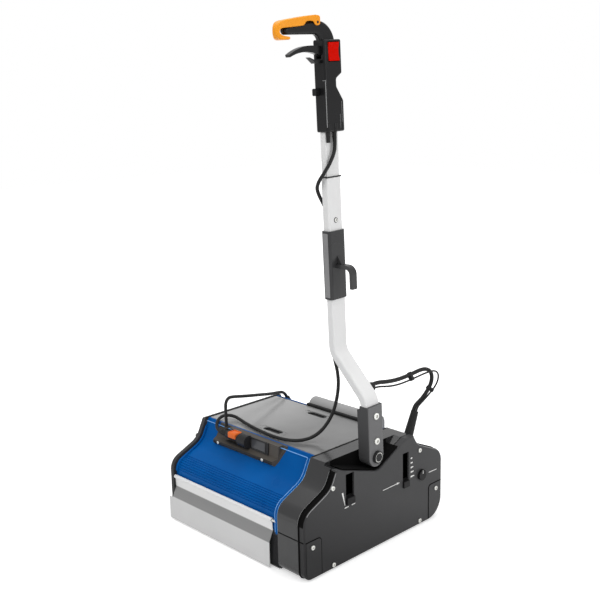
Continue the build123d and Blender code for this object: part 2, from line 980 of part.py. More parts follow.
def belt_pulley(y, z, radius, bore):
    """A flat pulley between two rims."""
    groove = pulley_width - 2 * pulley_rim_width
    with BuildPart() as pulley:
        with BuildSketch(side_plane(pulley_x)):
            with Locations((y, z)):
                Circle(radius + pulley_rim)
        extrude(amount=pulley_width)
        with BuildSketch(side_plane(pulley_x + pulley_rim_width)):
            with Locations((y, z)):
                Circle(radius + pulley_rim)
                Circle(radius, mode=Mode.SUBTRACT)
        extrude(amount=groove, mode=Mode.SUBTRACT)
        with BuildSketch(side_plane(pulley_x)):
            with Locations((y, z)):
                Circle(bore)
        extrude(amount=pulley_width, mode=Mode.SUBTRACT)
    return pulley


front_brush_core = brush_core(-brush_y)
save(front_brush_core, "front_brush_core")

rear_brush_core = brush_core(brush_y)
save(rear_brush_core, "rear_brush_core")

front_brush_bristles = brush_bristles(-brush_y)
save(front_brush_bristles, "front_brush_bristles")

rear_brush_bristles = brush_bristles(brush_y)
save(rear_brush_bristles, "rear_brush_bristles")

front_brush_pulley = belt_pulley(-brush_y, brush_z, pulley_radius, shaft_radius)
save(front_brush_pulley, "front_brush_pulley")

rear_brush_pulley = belt_pulley(brush_y, brush_z, pulley_radius, shaft_radius)
save(rear_brush_pulley, "rear_brush_pulley")

drum_pulley = belt_pulley(0, drum_z, pulley_radius, shaft_radius)

with BuildPart() as pickup_drum:
    add(drum_pulley.part)
    with BuildSketch(side_plane(shaft_left_x)):
        with Locations((0, drum_z)):
            Circle(shaft_radius)
    extrude(amount=shaft_length)
    with BuildSketch(side_plane(roller_left_x)):
        with Locations((0, drum_z)):
            Circle(drum_core_radius)
            with PolarLocations(drum_radius / 2, vane_count):
                Rectangle(drum_radius, vane_width)
    extrude(amount=roller_length)
save(pickup_drum, "pickup_drum")

# Belt drive

belt_wheels = (
    (brush_y, brush_z, pulley_radius, 1),
    (motor_y, motor_z, motor_pulley_radius, 1),
    (tensioner_y, tensioner_z, tensioner_radius, 1),
    (-brush_y, brush_z, pulley_radius, -1),
    (0, drum_z, pulley_radius, 1),
)


def belt_face(grow, mode):
    """Fill the belt's loop: the front brush is driven by the belt's back, so it turns the other way."""
    wheels = []
    for y, z, radius, turn in belt_wheels:
        reach = radius + belt_gap + (grow if turn > 0 else belt_thickness - grow)
        wheels.append((Vector(y, z), turn * reach))
    headings = []
    for (here, reach), (there, next_reach) in zip(wheels, wheels[1:] + wheels[:1]):
        step = there - here
        headings.append(math.atan2(step.Y, step.X) + math.asin((reach - next_reach) / step.length))
    with BuildLine() as outline:
        arcs = []
        for (centre, reach), arriving, leaving in zip(wheels, headings[-1:] + headings[:-1], headings):
            start = centre + Vector(math.sin(arriving), -math.cos(arriving)) * reach
            sweep_angle = math.degrees(leaving - arriving) % 360
            if reach < 0:
                sweep_angle -= 360
            arcs.append(JernArc(start, (math.cos(arriving), math.sin(arriving)), abs(reach), sweep_angle))
        for here, there in zip(arcs, arcs[1:] + arcs[:1]):
            Line(here @ 1, there @ 0)
    make_face(outline.edges(), mode=mode)


with BuildPart() as drive_belt:
    with BuildSketch(side_plane(pulley_x + pulley_rim_width + belt_gap)):
        belt_face(belt_thickness, Mode.ADD)
        belt_face(0, Mode.SUBTRACT)
    extrude(amount=belt_width)
save(drive_belt, "drive_belt")

motor_wheel = belt_pulley(motor_y, motor_z, motor_pulley_radius, motor_shaft_radius)

with BuildPart() as motor_pulley:
    add(motor_wheel.part)
    with BuildSketch(side_plane(pulley_x)):
        with Locations((motor_y, motor_z)):
            Circle(motor_shaft_radius)
    extrude(amount=motor_x + motor_shaft_depth - pulley_x)
save(motor_pulley, "motor_pulley")

belt_tensioner = belt_pulley(tensioner_y, tensioner_z, tensioner_radius, tensioner_pin_radius + shaft_fit)
save(belt_tensioner, "belt_tensioner")

motor_feet = [
    (
        motor_y + motor_feet_radius * math.cos(math.radians(angle)),
        motor_z + motor_feet_radius * math.sin(math.radians(angle)),
    )
    for angle in motor_feet_angles
]

with BuildPart() as drive_motor:
    with BuildSketch(side_plane(motor_x)):
        with Locations((motor_y, motor_z)):
            Circle(motor_radius)
    extrude(amount=motor_length)
    fillet(drive_motor.faces().sort_by(Axis.X)[-1].edges(), edge_round)
    with BuildSketch(side_plane(housing_inner_x + wall)):
        with Locations(*motor_feet):
            Circle(motor_foot_size)
    extrude(amount=motor_x - housing_inner_x - wall)
    with BuildSketch(side_plane(motor_x)):
        with Locations((motor_y, motor_z)):
            Circle(motor_shaft_radius + motor_fit)
    extrude(amount=motor_shaft_depth + motor_gap, mode=Mode.SUBTRACT)
save(drive_motor, "drive_motor")

# Spray bar and floor glides

with BuildPart() as spray_bar:
    with BuildSketch(side_plane(left_inner_x)):
        with Locations((spray_y, spray_z)):
            Circle(spray_radius)
            Circle(spray_bore, mode=Mode.SUBTRACT)
    extrude(amount=inner_width)
    with BuildSketch(Plane.XY.offset(spray_z)):
        with Locations((tank_x, spray_y)):
            with GridLocations(inner_width / (spray_holes + 1), 1, spray_holes, 1):
                Circle(spray_hole_radius)
    extrude(amount=-spray_radius, mode=Mode.SUBTRACT)
save(spray_bar, "spray_bar")

with BuildPart() as floor_glides:
    with BuildSketch(Plane.XY):
        for x, width in ((left_inner_x - plate_thickness / 2, glide_width), (housing_inner_x + drive_glide_set, drive_glide_width)):
            with Locations((x, -glide_y), (x, glide_y)):
                RectangleRounded(width, glide_length, glide_round)
    extrude(amount=body_bottom)
save(floor_glides, "floor_glides")

# Levers and dial


def slide_lever(y, bottom, width):
    """A tab that stands out of its slot, on a wider plate behind the cover."""
    back_x = half_width - wall - lever_gap
    middle = bottom + lever_gap + lever_tab / 2
    with BuildPart() as lever:
        with BuildSketch(side_plane(back_x)):
            with Locations((y, middle)):
                Rectangle(width - 2 * lever_gap, lever_tab)
        extrude(amount=half_width + lever_proud - back_x)
        with BuildSketch(side_plane(back_x)):
            with Locations((y, middle)):
                Rectangle(width + 2 * lever_lip, lever_tab + 2 * lever_lip)
        extrude(amount=-lever_back)
    return lever


water_lever = slide_lever(water_slot_y, water_slot_bottom, water_slot_width)
save(water_lever, "water_lever")

pressure_lever = slide_lever(pressure_slot_y, pressure_slot_bottom, pressure_slot_width)
save(pressure_lever, "pressure_lever")

with BuildPart() as dial_knob:
    with BuildSketch(side_plane(half_width + dial_fit)):
        with Locations((dial_y, dial_z)):
            Circle(dial_radius)
            with PolarLocations(dial_radius, dial_grips):
                Circle(dial_grip_radius, mode=Mode.SUBTRACT)
    extrude(amount=dial_height - dial_fit)
    with BuildSketch(side_plane(half_width + dial_fit)):
        with Locations((dial_y, dial_z)):
            Circle(dial_shaft_radius)
    extrude(amount=-wall - 2 * dial_fit)
    with BuildSketch(side_plane(half_width - wall - dial_fit)):
        with Locations((dial_y, dial_z)):
            Circle(dial_shaft_radius + lever_lip)
    extrude(amount=-dial_disc)
save(dial_knob, "dial_knob")

# Pivot and pole

with BuildPart() as pivot_bush:
    with BuildSketch(side_plane(pocket_floor_x)):
        with Locations((pivot_y, pivot_z)):
            Circle(pivot_bush_radius)
    extrude(amount=-pivot_bush_length)
    with BuildSketch(side_plane(pocket_floor_x)):
        with Locations((pivot_y, pivot_z)):
            Circle(pivot_flange_radius)
    extrude(amount=pivot_flange)
    with BuildSketch(side_plane(pocket_floor_x + pivot_flange)):
        with Locations((pivot_y, pivot_z)):
            Circle(pivot_shaft_radius + shaft_fit)
    extrude(amount=-pivot_bush_length - pivot_flange, mode=Mode.SUBTRACT)
save(pivot_bush, "pivot_bush")

pivot_foot_x = pocket_floor_x - pivot_bush_length - pivot_end_gap - pivot_collar

with BuildPart() as pivot_shaft:
    with BuildSketch(side_plane(pivot_foot_x)):
        with Locations((pivot_y, pivot_z)):
            Circle(pivot_collar_radius)
    extrude(amount=pivot_collar)
    with BuildSketch(side_plane(pivot_foot_x)):
        with Locations((pivot_y, pivot_z)):
            Circle(pivot_shaft_radius)
    extrude(amount=clevis_outer_x - pivot_foot_x)
    with BuildSketch(side_plane(clevis_outer_x)):
        with Locations((pivot_y, pivot_z)):
            Circle(pivot_head_radius)
    extrude(amount=pivot_head)
    fillet(pivot_shaft.faces().sort_by(Axis.X)[-1].edges(), clevis_setback)
save(pivot_shaft, "pivot_shaft")

clevis_slot = tube_depth + 2 * clevis_fit
clevis_cheek = (clevis_thickness - clevis_slot) / 2
bolt_places = [(0, height) for height in clevis_bolt_heights]
upright = (Align.CENTER, Align.MIN)

with BuildPart() as pole_clevis:
    with BuildSketch(pole_side(clevis_inner_x)):
        Circle(clevis_width / 2)
        Rectangle(clevis_width, clevis_length, align=upright)
    extrude(amount=clevis_thickness)
    fillet(pole_clevis.faces().sort_by(Axis.X)[-1].edges(), clevis_round)
    with BuildSketch(pole_side(clevis_inner_x)):
        with Locations((0, clevis_inner_length)):
            Rectangle(clevis_width, clevis_length, align=upright)
    extrude(amount=clevis_cheek, mode=Mode.SUBTRACT)
    with BuildSketch(pole_section(clevis_slot_bottom)):
        with Locations((clevis_tube_x, 0)):
            RectangleRounded(clevis_slot, tube_width + 2 * clevis_fit, tube_round)
    extrude(amount=clevis_length, mode=Mode.SUBTRACT)
    with BuildSketch(pole_side(clevis_inner_x)):
        Circle(pivot_shaft_radius)
        with Locations(*bolt_places):
            Circle(bolt_radius)
    extrude(amount=clevis_thickness, mode=Mode.SUBTRACT)
save(pole_clevis, "pole_clevis")

tube_face_x = pole_x + tube_depth / 2

with BuildPart() as pole_fasteners:
    with BuildSketch(pole_side(clevis_inner_x - nut_height)):
        with Locations(*bolt_places):
            RegularPolygon(nut_radius, nut_sides)
    extrude(amount=nut_height)
    with BuildSketch(pole_side(clevis_inner_x)):
        with Locations(*bolt_places):
            Circle(bolt_radius)
    extrude(amount=clevis_thickness)
    with BuildSketch(pole_side(clevis_outer_x)):
        with Locations(*bolt_places):
            Circle(bolt_head_radius)
    extrude(amount=bolt_head, taper=boss_taper)
    with BuildSketch(pole_side(tube_face_x)):
        with Locations((0, lock_height)):
            Circle(lock_head_radius)
    extrude(amount=lock_head)
    with BuildSketch(pole_side(tube_face_x)):
        with Locations((0, lock_height)):
            Circle(lock_radius)
    extrude(amount=-tube_wall)
save(pole_fasteners, "pole_fasteners")

tube_foot = clevis_slot_bottom + clevis_setback
grommet_x = clevis_tube_x - (grommet_height - bend_height) * math.tan(math.radians(bend_angle))

with BuildPart() as lower_tube:
    with BuildLine(pole_front(0)):
        FilletPolyline(
            (clevis_tube_x, tube_foot),
            (clevis_tube_x, bend_height),
            (pole_x, bend_height + bend_rise),
            (pole_x, lower_tube_top),
            radius=bend_radius,
        )
    with BuildSketch(pole_section(tube_foot)):
        with Locations((clevis_tube_x, 0)):
            RectangleRounded(tube_depth, tube_width, tube_round)
            RectangleRounded(
                tube_depth - 2 * tube_wall,
                tube_width - 2 * tube_wall,
                tube_round - tube_wall,
                mode=Mode.SUBTRACT,
            )
    sweep()
    with BuildSketch(pole_side(clevis_inner_x)):
        with Locations(*bolt_places):
            Circle(bolt_radius)
    extrude(amount=clevis_thickness, mode=Mode.SUBTRACT)
    with BuildSketch(pole_side(tube_face_x)):
        with Locations((0, lock_height)):
            Circle(lock_radius)
    extrude(amount=-tube_wall, mode=Mode.SUBTRACT)
    with BuildSketch(pole_front(tube_width / 2)):
        with Locations((grommet_x, grommet_height)):
            Circle(grommet_spigot)
    extrude(amount=tube_wall, mode=Mode.SUBTRACT)
save(lower_tube, "lower_tube")

upper_depth = tube_depth - 2 * (tube_wall + tube_fit)
upper_width = tube_width - 2 * (tube_wall + tube_fit)
upper_round = tube_round - tube_wall - tube_fit

with BuildPart() as upper_tube:
    with BuildSketch(pole_section(upper_tube_foot)):
        with Locations((pole_x, 0)):
            RectangleRounded(upper_depth, upper_width, upper_round)
            RectangleRounded(
                upper_depth - 2 * tube_wall,
                upper_width - 2 * tube_wall,
                upper_round - tube_wall,
                mode=Mode.SUBTRACT,
            )
    extrude(amount=upper_tube_top - upper_tube_foot)
save(upper_tube, "upper_tube")

cable_x = pole_x - tube_depth / 2 - cable_gap - cable_radius
sleeve_face_x = tube_face_x + sleeve_side

with BuildPart() as hook_sleeve:
    with BuildSketch(pole_section(sleeve_foot)):
        with Locations((pole_x, 0)):
            RectangleRounded(tube_depth + 2 * sleeve_side, tube_width + 2 * sleeve_front, sleeve_round)
            RectangleRounded(tube_depth, tube_width, tube_round, mode=Mode.SUBTRACT)
        with Locations((cable_x, cable_line_across)):
            Rectangle(tube_depth, cable_slot, mode=Mode.SUBTRACT)
    extrude(amount=sleeve_top - sleeve_foot)
    with BuildSketch(pole_front(hook_width / 2)):
        with BuildLine() as bar:
            FilletPolyline(
                (sleeve_face_x - sleeve_side / 2, hook_height),
                (sleeve_face_x + hook_reach - hook_thick / 2, hook_height),
                (sleeve_face_x + hook_reach - hook_thick / 2, hook_height - hook_drop),
                radius=hook_bend,
            )
        trace(bar.edges(), hook_thick)
    extrude(amount=hook_width)
    with BuildSketch(pole_front(gusset_width / 2)):
        with BuildLine():
            Polyline(
                (sleeve_face_x - sleeve_side / 2, hook_height),
                (sleeve_face_x + gusset_reach, hook_height),
                (sleeve_face_x - sleeve_side / 2, hook_height + gusset_rise),
                close=True,
            )
        make_face()
    extrude(amount=gusset_width)
save(hook_sleeve, "hook_sleeve")

with BuildPart() as cable_run:
    with BuildSketch(pole_section(cable_line_foot)):
        with Locations((cable_x, cable_line_across)):
            Circle(cable_radius)
    extrude(amount=cable_line_top - cable_line_foot)
save(cable_run, "cable_run")

with BuildPart() as pole_grommet:
    with BuildSketch(pole_front(tube_width / 2)):
        with Locations((grommet_x, grommet_height)):
            Circle(grommet_radius)
    extrude(amount=-grommet_length)
    with BuildSketch(pole_front(tube_width / 2)):
        with Locations((grommet_x, grommet_height)):
            Circle(grommet_spigot)
    extrude(amount=tube_wall)
save(pole_grommet, "pole_grommet")

# Control head

head_rounds = (
    head_corner,
    head_corner,
    head_waist_round,
    head_waist_round,
    head_step_round,
    head_corner,
    head_corner,
    head_corner,
)


def head_face(inset):
    """The side outline of the head's body, drawn in by inset."""
    with BuildLine() as outline:
        FilletPolyline(
            (head_front + inset, head_foot + inset),
            (head_back - inset, head_foot + inset),
            (head_back - inset, belly_top - inset),
            (waist_back - inset, waist_low - inset),
            (waist_back - inset, waist_high + inset),
            (shoulder_back - inset, shoulder_low + inset),
            (shoulder_back - inset, head_top - inset),
            (head_front + inset, head_top - inset),
            radius=head_rounds,
            close=True,
        )
    make_face(outline.edges())


def grip_face(inset):
    """The side outline of the grip, which curves forwards out of the body, drawn in by inset."""
    tip_half = grip_tip_height / 2
    with BuildLine() as outline:
        rise = Line(
            (head_front + grip_set + inset, head_top - grip_root),
            (head_front + grip_set + inset, grip_under - grip_inner_radius),
        )
        inner = JernArc(rise @ 1, (0, 1), grip_inner_radius + inset, 90)
        under = Line(inner @ 1, (grip_tip + tip_half, grip_under + inset))
        tip = JernArc(under @ 1, (-1, 0), tip_half - inset, -180)
        over = Line(tip @ 1, (grip_neck, grip_under + grip_neck_height - inset))
        crown_end = (shoulder_back - grip_back_set - inset, head_top - grip_root)
        crown = TangentArc(over @ 1, crown_end, tangent=over % 1)
        Line(crown @ 1, rise @ 0)
    make_face(outline.edges())


with BuildPart() as head_form:
    with BuildSketch(pole_side(head_x - head_half)):
        head_face(0)
    extrude(amount=2 * head_half)
    sides = head_form.faces().sort_by(Axis.X)
    fillet(sides[0].edges() + sides[-1].edges(), head_round)

with BuildPart() as grip_form:
    with BuildSketch(pole_side(head_x - grip_half)):
        grip_face(0)
    extrude(amount=2 * grip_half)
    sides = grip_form.faces().sort_by(Axis.X)
    fillet(sides[0].edges() + sides[-1].edges(), grip_round)

gland_places = [(gland_x, across) for across in gland_acrosses]
trigger_pin = (trigger_across, trigger_height)
safety_pin = (safety_across, safety_height)
pin_half = head_half - head_wall / 2

with BuildPart() as head_whole:
    add(head_form.part)
    add(grip_form.part)
    with BuildSketch(pole_side(head_x - spur_half)):
        with BuildLine():
            Polyline(
                (head_front + head_wall, spur_low),
                (head_front - spur_length / 2, spur_low),
                (head_front - spur_length, spur_high),
                (head_front - spur_length / 2, (spur_low + spur_high) / 2),
                (head_front + head_wall, (spur_low + spur_high) / 2),
                close=True,
            )
        make_face()
    extrude(amount=2 * spur_half)
    with BuildSketch(pole_side(head_x - head_half + head_wall)):
        head_face(head_wall)
    extrude(amount=2 * (head_half - head_wall), mode=Mode.SUBTRACT)
    with BuildSketch(pole_side(head_x - grip_half + head_wall)):
        grip_face(head_wall)
    extrude(amount=2 * (grip_half - head_wall), mode=Mode.SUBTRACT)
    with BuildSketch(pole_section(head_foot)):
        with Locations((pole_x, 0)):
            RectangleRounded(upper_depth, upper_width, upper_round)
        with Locations(*gland_places):
            Circle(gland_radius)
    extrude(amount=head_wall + head_corner, mode=Mode.SUBTRACT)
    with BuildSketch(pole_side(head_x - trigger_half - trigger_gap)):
        with Locations((head_front, trigger_height - trigger_hub - head_wall)):
            Rectangle(trigger_slot_depth, trigger_slot, align=upright)
    extrude(amount=2 * (trigger_half + trigger_gap), mode=Mode.SUBTRACT)
    with BuildSketch(pole_side(head_x + head_half)):
        with Locations((rocker_across, rocker_height)):
            Rectangle(rocker_width + 2 * rocker_gap, rocker_length + 2 * rocker_end_gap)
    extrude(amount=-2 * head_wall, mode=Mode.SUBTRACT)
    with BuildSketch(pole_front(head_front)):
        with Locations((head_x - button_set, button_height)):
            Rectangle(button_width + 2 * button_gap, button_length + 2 * button_gap)
    extrude(amount=-2 * head_wall, mode=Mode.SUBTRACT)
    with BuildSketch(pole_side(head_x - pin_half)):
        with Locations(trigger_pin, safety_pin):
            Circle(pin_radius)
    extrude(amount=2 * pin_half, mode=Mode.SUBTRACT)


def head_shell(keep):
    """One half of the head."""
    with BuildPart() as shell:
        add(head_whole.part)
        split(bisect_by=side_plane(head_x), keep=keep)
    return shell


head_shell_left = head_shell(Keep.BOTTOM)
save(head_shell_left, "head_shell_left")

head_shell_right = head_shell(Keep.TOP)
save(head_shell_right, "head_shell_right")

with BuildPart() as head_pins:
    with BuildSketch(pole_side(head_x - pin_half)):
        with Locations(trigger_pin):
            Circle(pin_radius)
    extrude(amount=2 * pin_half)
    with BuildSketch(pole_side(head_x - safety_half)):
        with Locations(safety_pin):
            Circle(pin_radius)
    extrude(amount=2 * safety_half)
save(head_pins, "head_pins")

trigger_crown = trigger_height + trigger_rise

with BuildPart() as trigger:
    with BuildSketch(pole_side(head_x - trigger_half)):
        with BuildLine():
            middle = (trigger_across + trigger_tip) / 2
            top = ThreePointArc(
                (trigger_across, trigger_height + trigger_hub),
                (middle, trigger_crown),
                (trigger_tip, trigger_height - trigger_drop),
            )
            bottom = ThreePointArc(
                (trigger_tip + trigger_drop, trigger_height - trigger_nose),
                (middle, trigger_crown - trigger_thick),
                (trigger_across, trigger_height - trigger_hub),
            )
            Line(top @ 1, bottom @ 0)
            Line(bottom @ 1, top @ 0)
        make_face()
        with Locations(trigger_pin):
            Circle(trigger_hub)
            Circle(pin_radius + pin_fit, mode=Mode.SUBTRACT)
    extrude(amount=2 * trigger_half)
save(trigger, "trigger")

safety_under = safety_ridge - safety_thick - safety_drop
safety_inner = grip_half + safety_gap

with BuildPart() as safety_lever:
    with BuildSketch(pole_side(head_x - safety_half)):
        with BuildLine():
            FilletPolyline(
                (safety_end, safety_under + safety_drop / 2),
                (safety_end, safety_ridge - safety_drop),
                (safety_across - safety_drop, safety_ridge),
                (safety_tip, safety_ridge - safety_tip_drop),
                (safety_tip, safety_hook_low),
                (safety_hook_tip, safety_hook_low),
                (safety_hook_tip, safety_hook_low + safety_hook_thick),
                (safety_tip + safety_tip_wall, safety_hook_low + safety_hook_thick),
                (safety_tip + safety_tip_wall, safety_under - safety_drop / 2),
                (safety_across - 2 * safety_drop, safety_under),
                radius=safety_rounds,
                close=True,
            )
        make_face()
    extrude(amount=2 * safety_half)
    for x in (head_x - safety_half, head_x + safety_inner):
        with BuildSketch(pole_side(x)):
            with BuildLine():
                Polyline(
                    (safety_tip + safety_tip_wall / 2, safety_skirt_low),
                    (safety_skirt_end - safety_ear_half, safety_skirt_low),
                    (safety_skirt_end, safety_under + safety_drop / 2),
                    (safety_tip + safety_tip_wall / 2, safety_under + safety_drop / 2),
                    close=True,
                )
            make_face()
            with Locations((safety_across, safety_height - safety_drop)):
                Rectangle(2 * safety_ear_half, safety_ridge - safety_height, align=upright)
            with Locations(safety_pin):
                Circle(pin_radius + pin_fit, mode=Mode.SUBTRACT)
        extrude(amount=safety_half - safety_inner)
save(safety_lever, "safety_lever")

rocker_face_x = head_x + head_half + rocker_proud

with BuildPart() as power_rocker:
    with BuildSketch(pole_side(head_x + head_half - rocker_depth)):
        with Locations((rocker_across, rocker_height)):
            Rectangle(rocker_width, rocker_length)
    extrude(amount=rocker_depth + rocker_proud)
    with BuildSketch(pole_front(rocker_across + rocker_width / 2)):
        with Locations((rocker_face_x + rocker_dish_radius - rocker_dish, rocker_height)):
            Circle(rocker_dish_radius)
    extrude(amount=rocker_width, mode=Mode.SUBTRACT)
    with BuildSketch(pole_front(rocker_across + rocker_width / 2 + rocker_pin_proud)):
        with Locations((head_x + head_half - rocker_pin_depth, rocker_height)):
            Circle(rocker_pin_radius)
    extrude(amount=rocker_width + 2 * rocker_pin_proud)
save(power_rocker, "power_rocker")

with BuildPart() as front_button:
    with BuildSketch(pole_front(head_front + button_depth)):
        with Locations((head_x - button_set, button_height)):
            RectangleRounded(button_width, button_length, button_round)
    extrude(amount=button_depth + button_proud)
    with BuildSketch(pole_front(head_front + head_wall + button_gap)):
        with Locations((head_x - button_set, button_height)):
            Rectangle(button_width + 2 * button_flange, button_length + 2 * button_flange)
    extrude(amount=-button_flange_sheet)
save(front_button, "front_button")

with BuildPart() as cable_glands:
    with BuildSketch(pole_section(head_foot)):
        with Locations(*gland_places):
            Circle(gland_radius)
    extrude(amount=head_wall)
    with BuildSketch(pole_section(head_foot)):
        with Locations(*gland_places):
            Circle(gland_radius)
    extrude(amount=-gland_length, taper=gland_taper)
save(cable_glands, "cable_glands")

# Connector on the front cover

plug_y = lid_front_y - plug_set
plug_right_x = plug_left_x + plug_length
bay_right_x = plug_right_x + socket_length
bay_radius = plug_radius + bay_clear
lip_y = lid_front_y - lip_set
jumper_gland_y = lid_front_y - jumper_gland_set

with BuildPart() as connector_housing:
    with BuildSketch(side_plane(flange_left_x)):
        with BuildLine():
            Polyline(
                (lid_front_y, body_top),
                (lid_front_y - flange_top_set, body_top),
                (lid_front_y - flange_foot_set, flange_foot_z),
                (lip_y, lip_high),
                (lip_y, lip_low),
                (lid_front_y - lip_heel_set, lip_heel_z),
                (lid_front_y, lip_heel_z),
                close=True,
            )
        make_face()
    extrude(amount=flange_right_x - flange_left_x)
    with BuildSketch(Plane.XY.offset(lip_heel_z)):
        with BuildLine():
            Polyline(
                (flange_corner_x, lip_y),
                (flange_right_x, lip_y),
                (flange_right_x, lid_front_y - flange_corner_set),
                close=True,
            )
        make_face()
    extrude(amount=body_top - lip_heel_z, mode=Mode.SUBTRACT)
    with BuildSketch(side_plane(box_left_x)):
        with BuildLine():
            Polyline(
                (lid_front_y, body_top),
                (lid_front_y - box_top_set, body_top),
                (lid_front_y - flange_foot_set, flange_foot_z),
                (lid_front_y, flange_foot_z),
                close=True,
            )
        make_face()
    extrude(amount=box_right_x - box_left_x)
    with BuildSketch(side_plane(box_left_x)):
        with Locations((plug_y, plug_z)):
            Circle(bay_radius)
    extrude(amount=bay_right_x - box_left_x, mode=Mode.SUBTRACT)
    with BuildSketch(Plane.XY.offset(jumper_gland_foot)):
        with Locations((jumper_gland_x, jumper_gland_y)):
            Circle(jumper_gland_radius)
    extrude(amount=jumper_gland_top - jumper_gland_foot, taper=jumper_gland_taper)
    with BuildSketch(side_plane(left_inner_x)):
        end_block_face(-1, Mode.ADD)
    extrude(amount=inner_width, mode=Mode.SUBTRACT)
save(connector_housing, "connector_housing")

with BuildPart() as power_socket:
    with BuildSketch(side_plane(plug_right_x + plug_gap)):
        with Locations((plug_y, plug_z)):
            Circle(bay_radius)
    extrude(amount=socket_length - plug_gap)
    with BuildSketch(side_plane(plug_right_x + plug_gap)):
        with Locations((plug_y, plug_z)):
            Circle(plug_nose_radius + plug_gap)
    extrude(amount=plug_nose_length, mode=Mode.SUBTRACT)
save(power_socket, "power_socket")

with BuildPart() as cable_plug:
    with BuildSketch(side_plane(plug_left_x)):
        with Locations((plug_y, plug_z)):
            Circle(plug_radius)
    extrude(amount=plug_length)
    with BuildSketch(side_plane(plug_right_x)):
        with Locations((plug_y, plug_z)):
            Circle(plug_nose_radius)
    extrude(amount=plug_nose_length)
save(cable_plug, "cable_plug")

# Boots

boot_axis = Vector(0, math.sin(math.radians(boot_tilt)), math.cos(math.radians(boot_tilt)))
boot_base = Vector(half_width - boot_side, boot_y, boot_z)
boot_tip = boot_base + boot_axis * boot_length
jumper_axis = Vector(0, -math.sin(math.radians(jumper_boot_tilt)), math.cos(math.radians(jumper_boot_tilt)))
jumper_tip = Vector(left_inner_x + jumper_end_side, jumper_end_y, jumper_end_z)

with BuildPart() as cord_boots:
    with BuildSketch(Plane(origin=boot_base, z_dir=boot_axis)):
        Circle(boot_base_radius)
    extrude(amount=boot_length, taper=boot_taper)
    with BuildSketch(Plane(origin=jumper_tip, z_dir=-jumper_axis)):
        Circle(jumper_boot_radius)
    extrude(amount=jumper_boot_length, taper=jumper_boot_taper)
    with BuildSketch(side_plane(housing_inner_x)):
        panel_face()
    extrude(amount=half_width - housing_inner_x, mode=Mode.SUBTRACT)
    with BuildSketch(side_plane(left_inner_x)):
        end_block_face(1, Mode.ADD)
    extrude(amount=inner_width, mode=Mode.SUBTRACT)
save(cord_boots, "cord_boots")

# Cords: straight runs and tangent arcs


def cord(points, radius, name):
    """Sweep one cord along its route and print its bend radii, length and volume."""
    places = [Vector(*point) for point in points]
    bends = []
    for before, here, after in zip(places, places[1:], places[2:]):
        arriving = here - before
        leaving = after - here
        half_turn = math.radians(arriving.get_angle(leaving)) / 2
        bends.append(cord_bend * min(arriving.length, leaving.length) / math.tan(half_turn))
    with BuildPart() as tube:
        with BuildLine() as route:
            FilletPolyline(*places, radius=bends)
        with BuildSketch(Plane(origin=places[0], z_dir=places[1] - places[0])):
            Circle(radius)
        sweep()
    length = sum(edge.length for edge in route.edges())
    fill = tube.part.volume / (math.pi * radius**2 * length)
    print(name, "bends", [round(bend) for bend in bends], "length", round(length), "fill", round(fill, 3))
    save(tube, name)


cable_start = pole_point(cable_x, cable_line_across, cable_line_foot)
hose_start = pole_point(grommet_x, tube_width / 2 + grommet_length, grommet_height + grommet_spread)
wire_start = pole_point(grommet_x, tube_width / 2 + grommet_length, grommet_height - grommet_spread)
hose_end = boot_tip - Vector(cord_spread, 0, 0)
wire_end = boot_tip + Vector(cord_spread, 0, 0)

cable_upper_route = [
    pole_point(*place)
    for place in (
        (gland_x, gland_acrosses[1], head_foot - gland_length),
        (gland_x, gland_acrosses[1], 634),
        (131, -6, 618),
        (130.5, -18, 602),
        (126, -28, 587),
        (115, -32, 572),
        (104.5, -29, 557),
        (101, -20, 541),
        (102, -11, 525),
        (cable_x, cable_line_across, 509),
        (cable_x, cable_line_across, cable_line_top),
    )
]
cord(cable_upper_route, cable_radius, "cable_upper")

cable_loop_route = [
    cable_start,
    cable_start - pole_up * loop_lead,
    (105.5, -4, 397),
    (108, 2, 370),
    (109, 4.5, 340),
    (107, 1, 308),
    (103, -7, 277),
    (96, -20, 252),
    (88, -37, 234),
    (79, -57, 225),
    (64, -79, 222.3),
    (38, -91, 221.6),
    (2, -94, 221.5),
    (-40, -91, 221.6),
    (-85, -84, 221.5),
    (-122, -76, 222.3),
    (-147, -72, 224.5),
    (-162, -79, 226.5),
    (-168, -95, 227),
    (-166, -109, 221.5),
    (-159, -119.5, 212.5),
    (-147, -125, 206.8),
    (plug_left_x - plug_lead, plug_y, plug_z),
    (plug_left_x, plug_y, plug_z),
]
cord(cable_loop_route, cable_radius, "cable_loop")

cable_jumper_route = [
    (jumper_gland_x, jumper_gland_y, jumper_gland_top),
    (jumper_gland_x, jumper_gland_y, 236),
    (-131.5, -113, 256),
    (-135.5, -108.5, 271),
    (-140, -96, 278),
    (-145, -77, 274),
    (-150, -52, 267.5),
    (-156, -24, 260.5),
    (-166, 20, 250),
    (-176, 63, 239.4),
    (-184, 95, 233.5),
    jumper_tip + jumper_axis * jumper_lead,
    jumper_tip,
]
cord(cable_jumper_route, cable_radius, "cable_jumper")

rear_hose_route = [
    hose_start,
    hose_start + pole_back * grommet_lead,
    (189.5, 68, 346),
    (194, 96, 345),
    (197, 124, 347),
    (199, 150, 350.5),
    (200, 173, 352.5),
    (200.5, 193, 348),
    (200.5, 206, 334.5),
    (199.5, 206.5, 315),
    (197, 197, 299),
    (193.8, 185.5, 285),
    (190.5, 173.5, 275.5),
    hose_end + boot_axis * boot_lead,
    hose_end,
]
cord(rear_hose_route, hose_radius, "rear_hose")

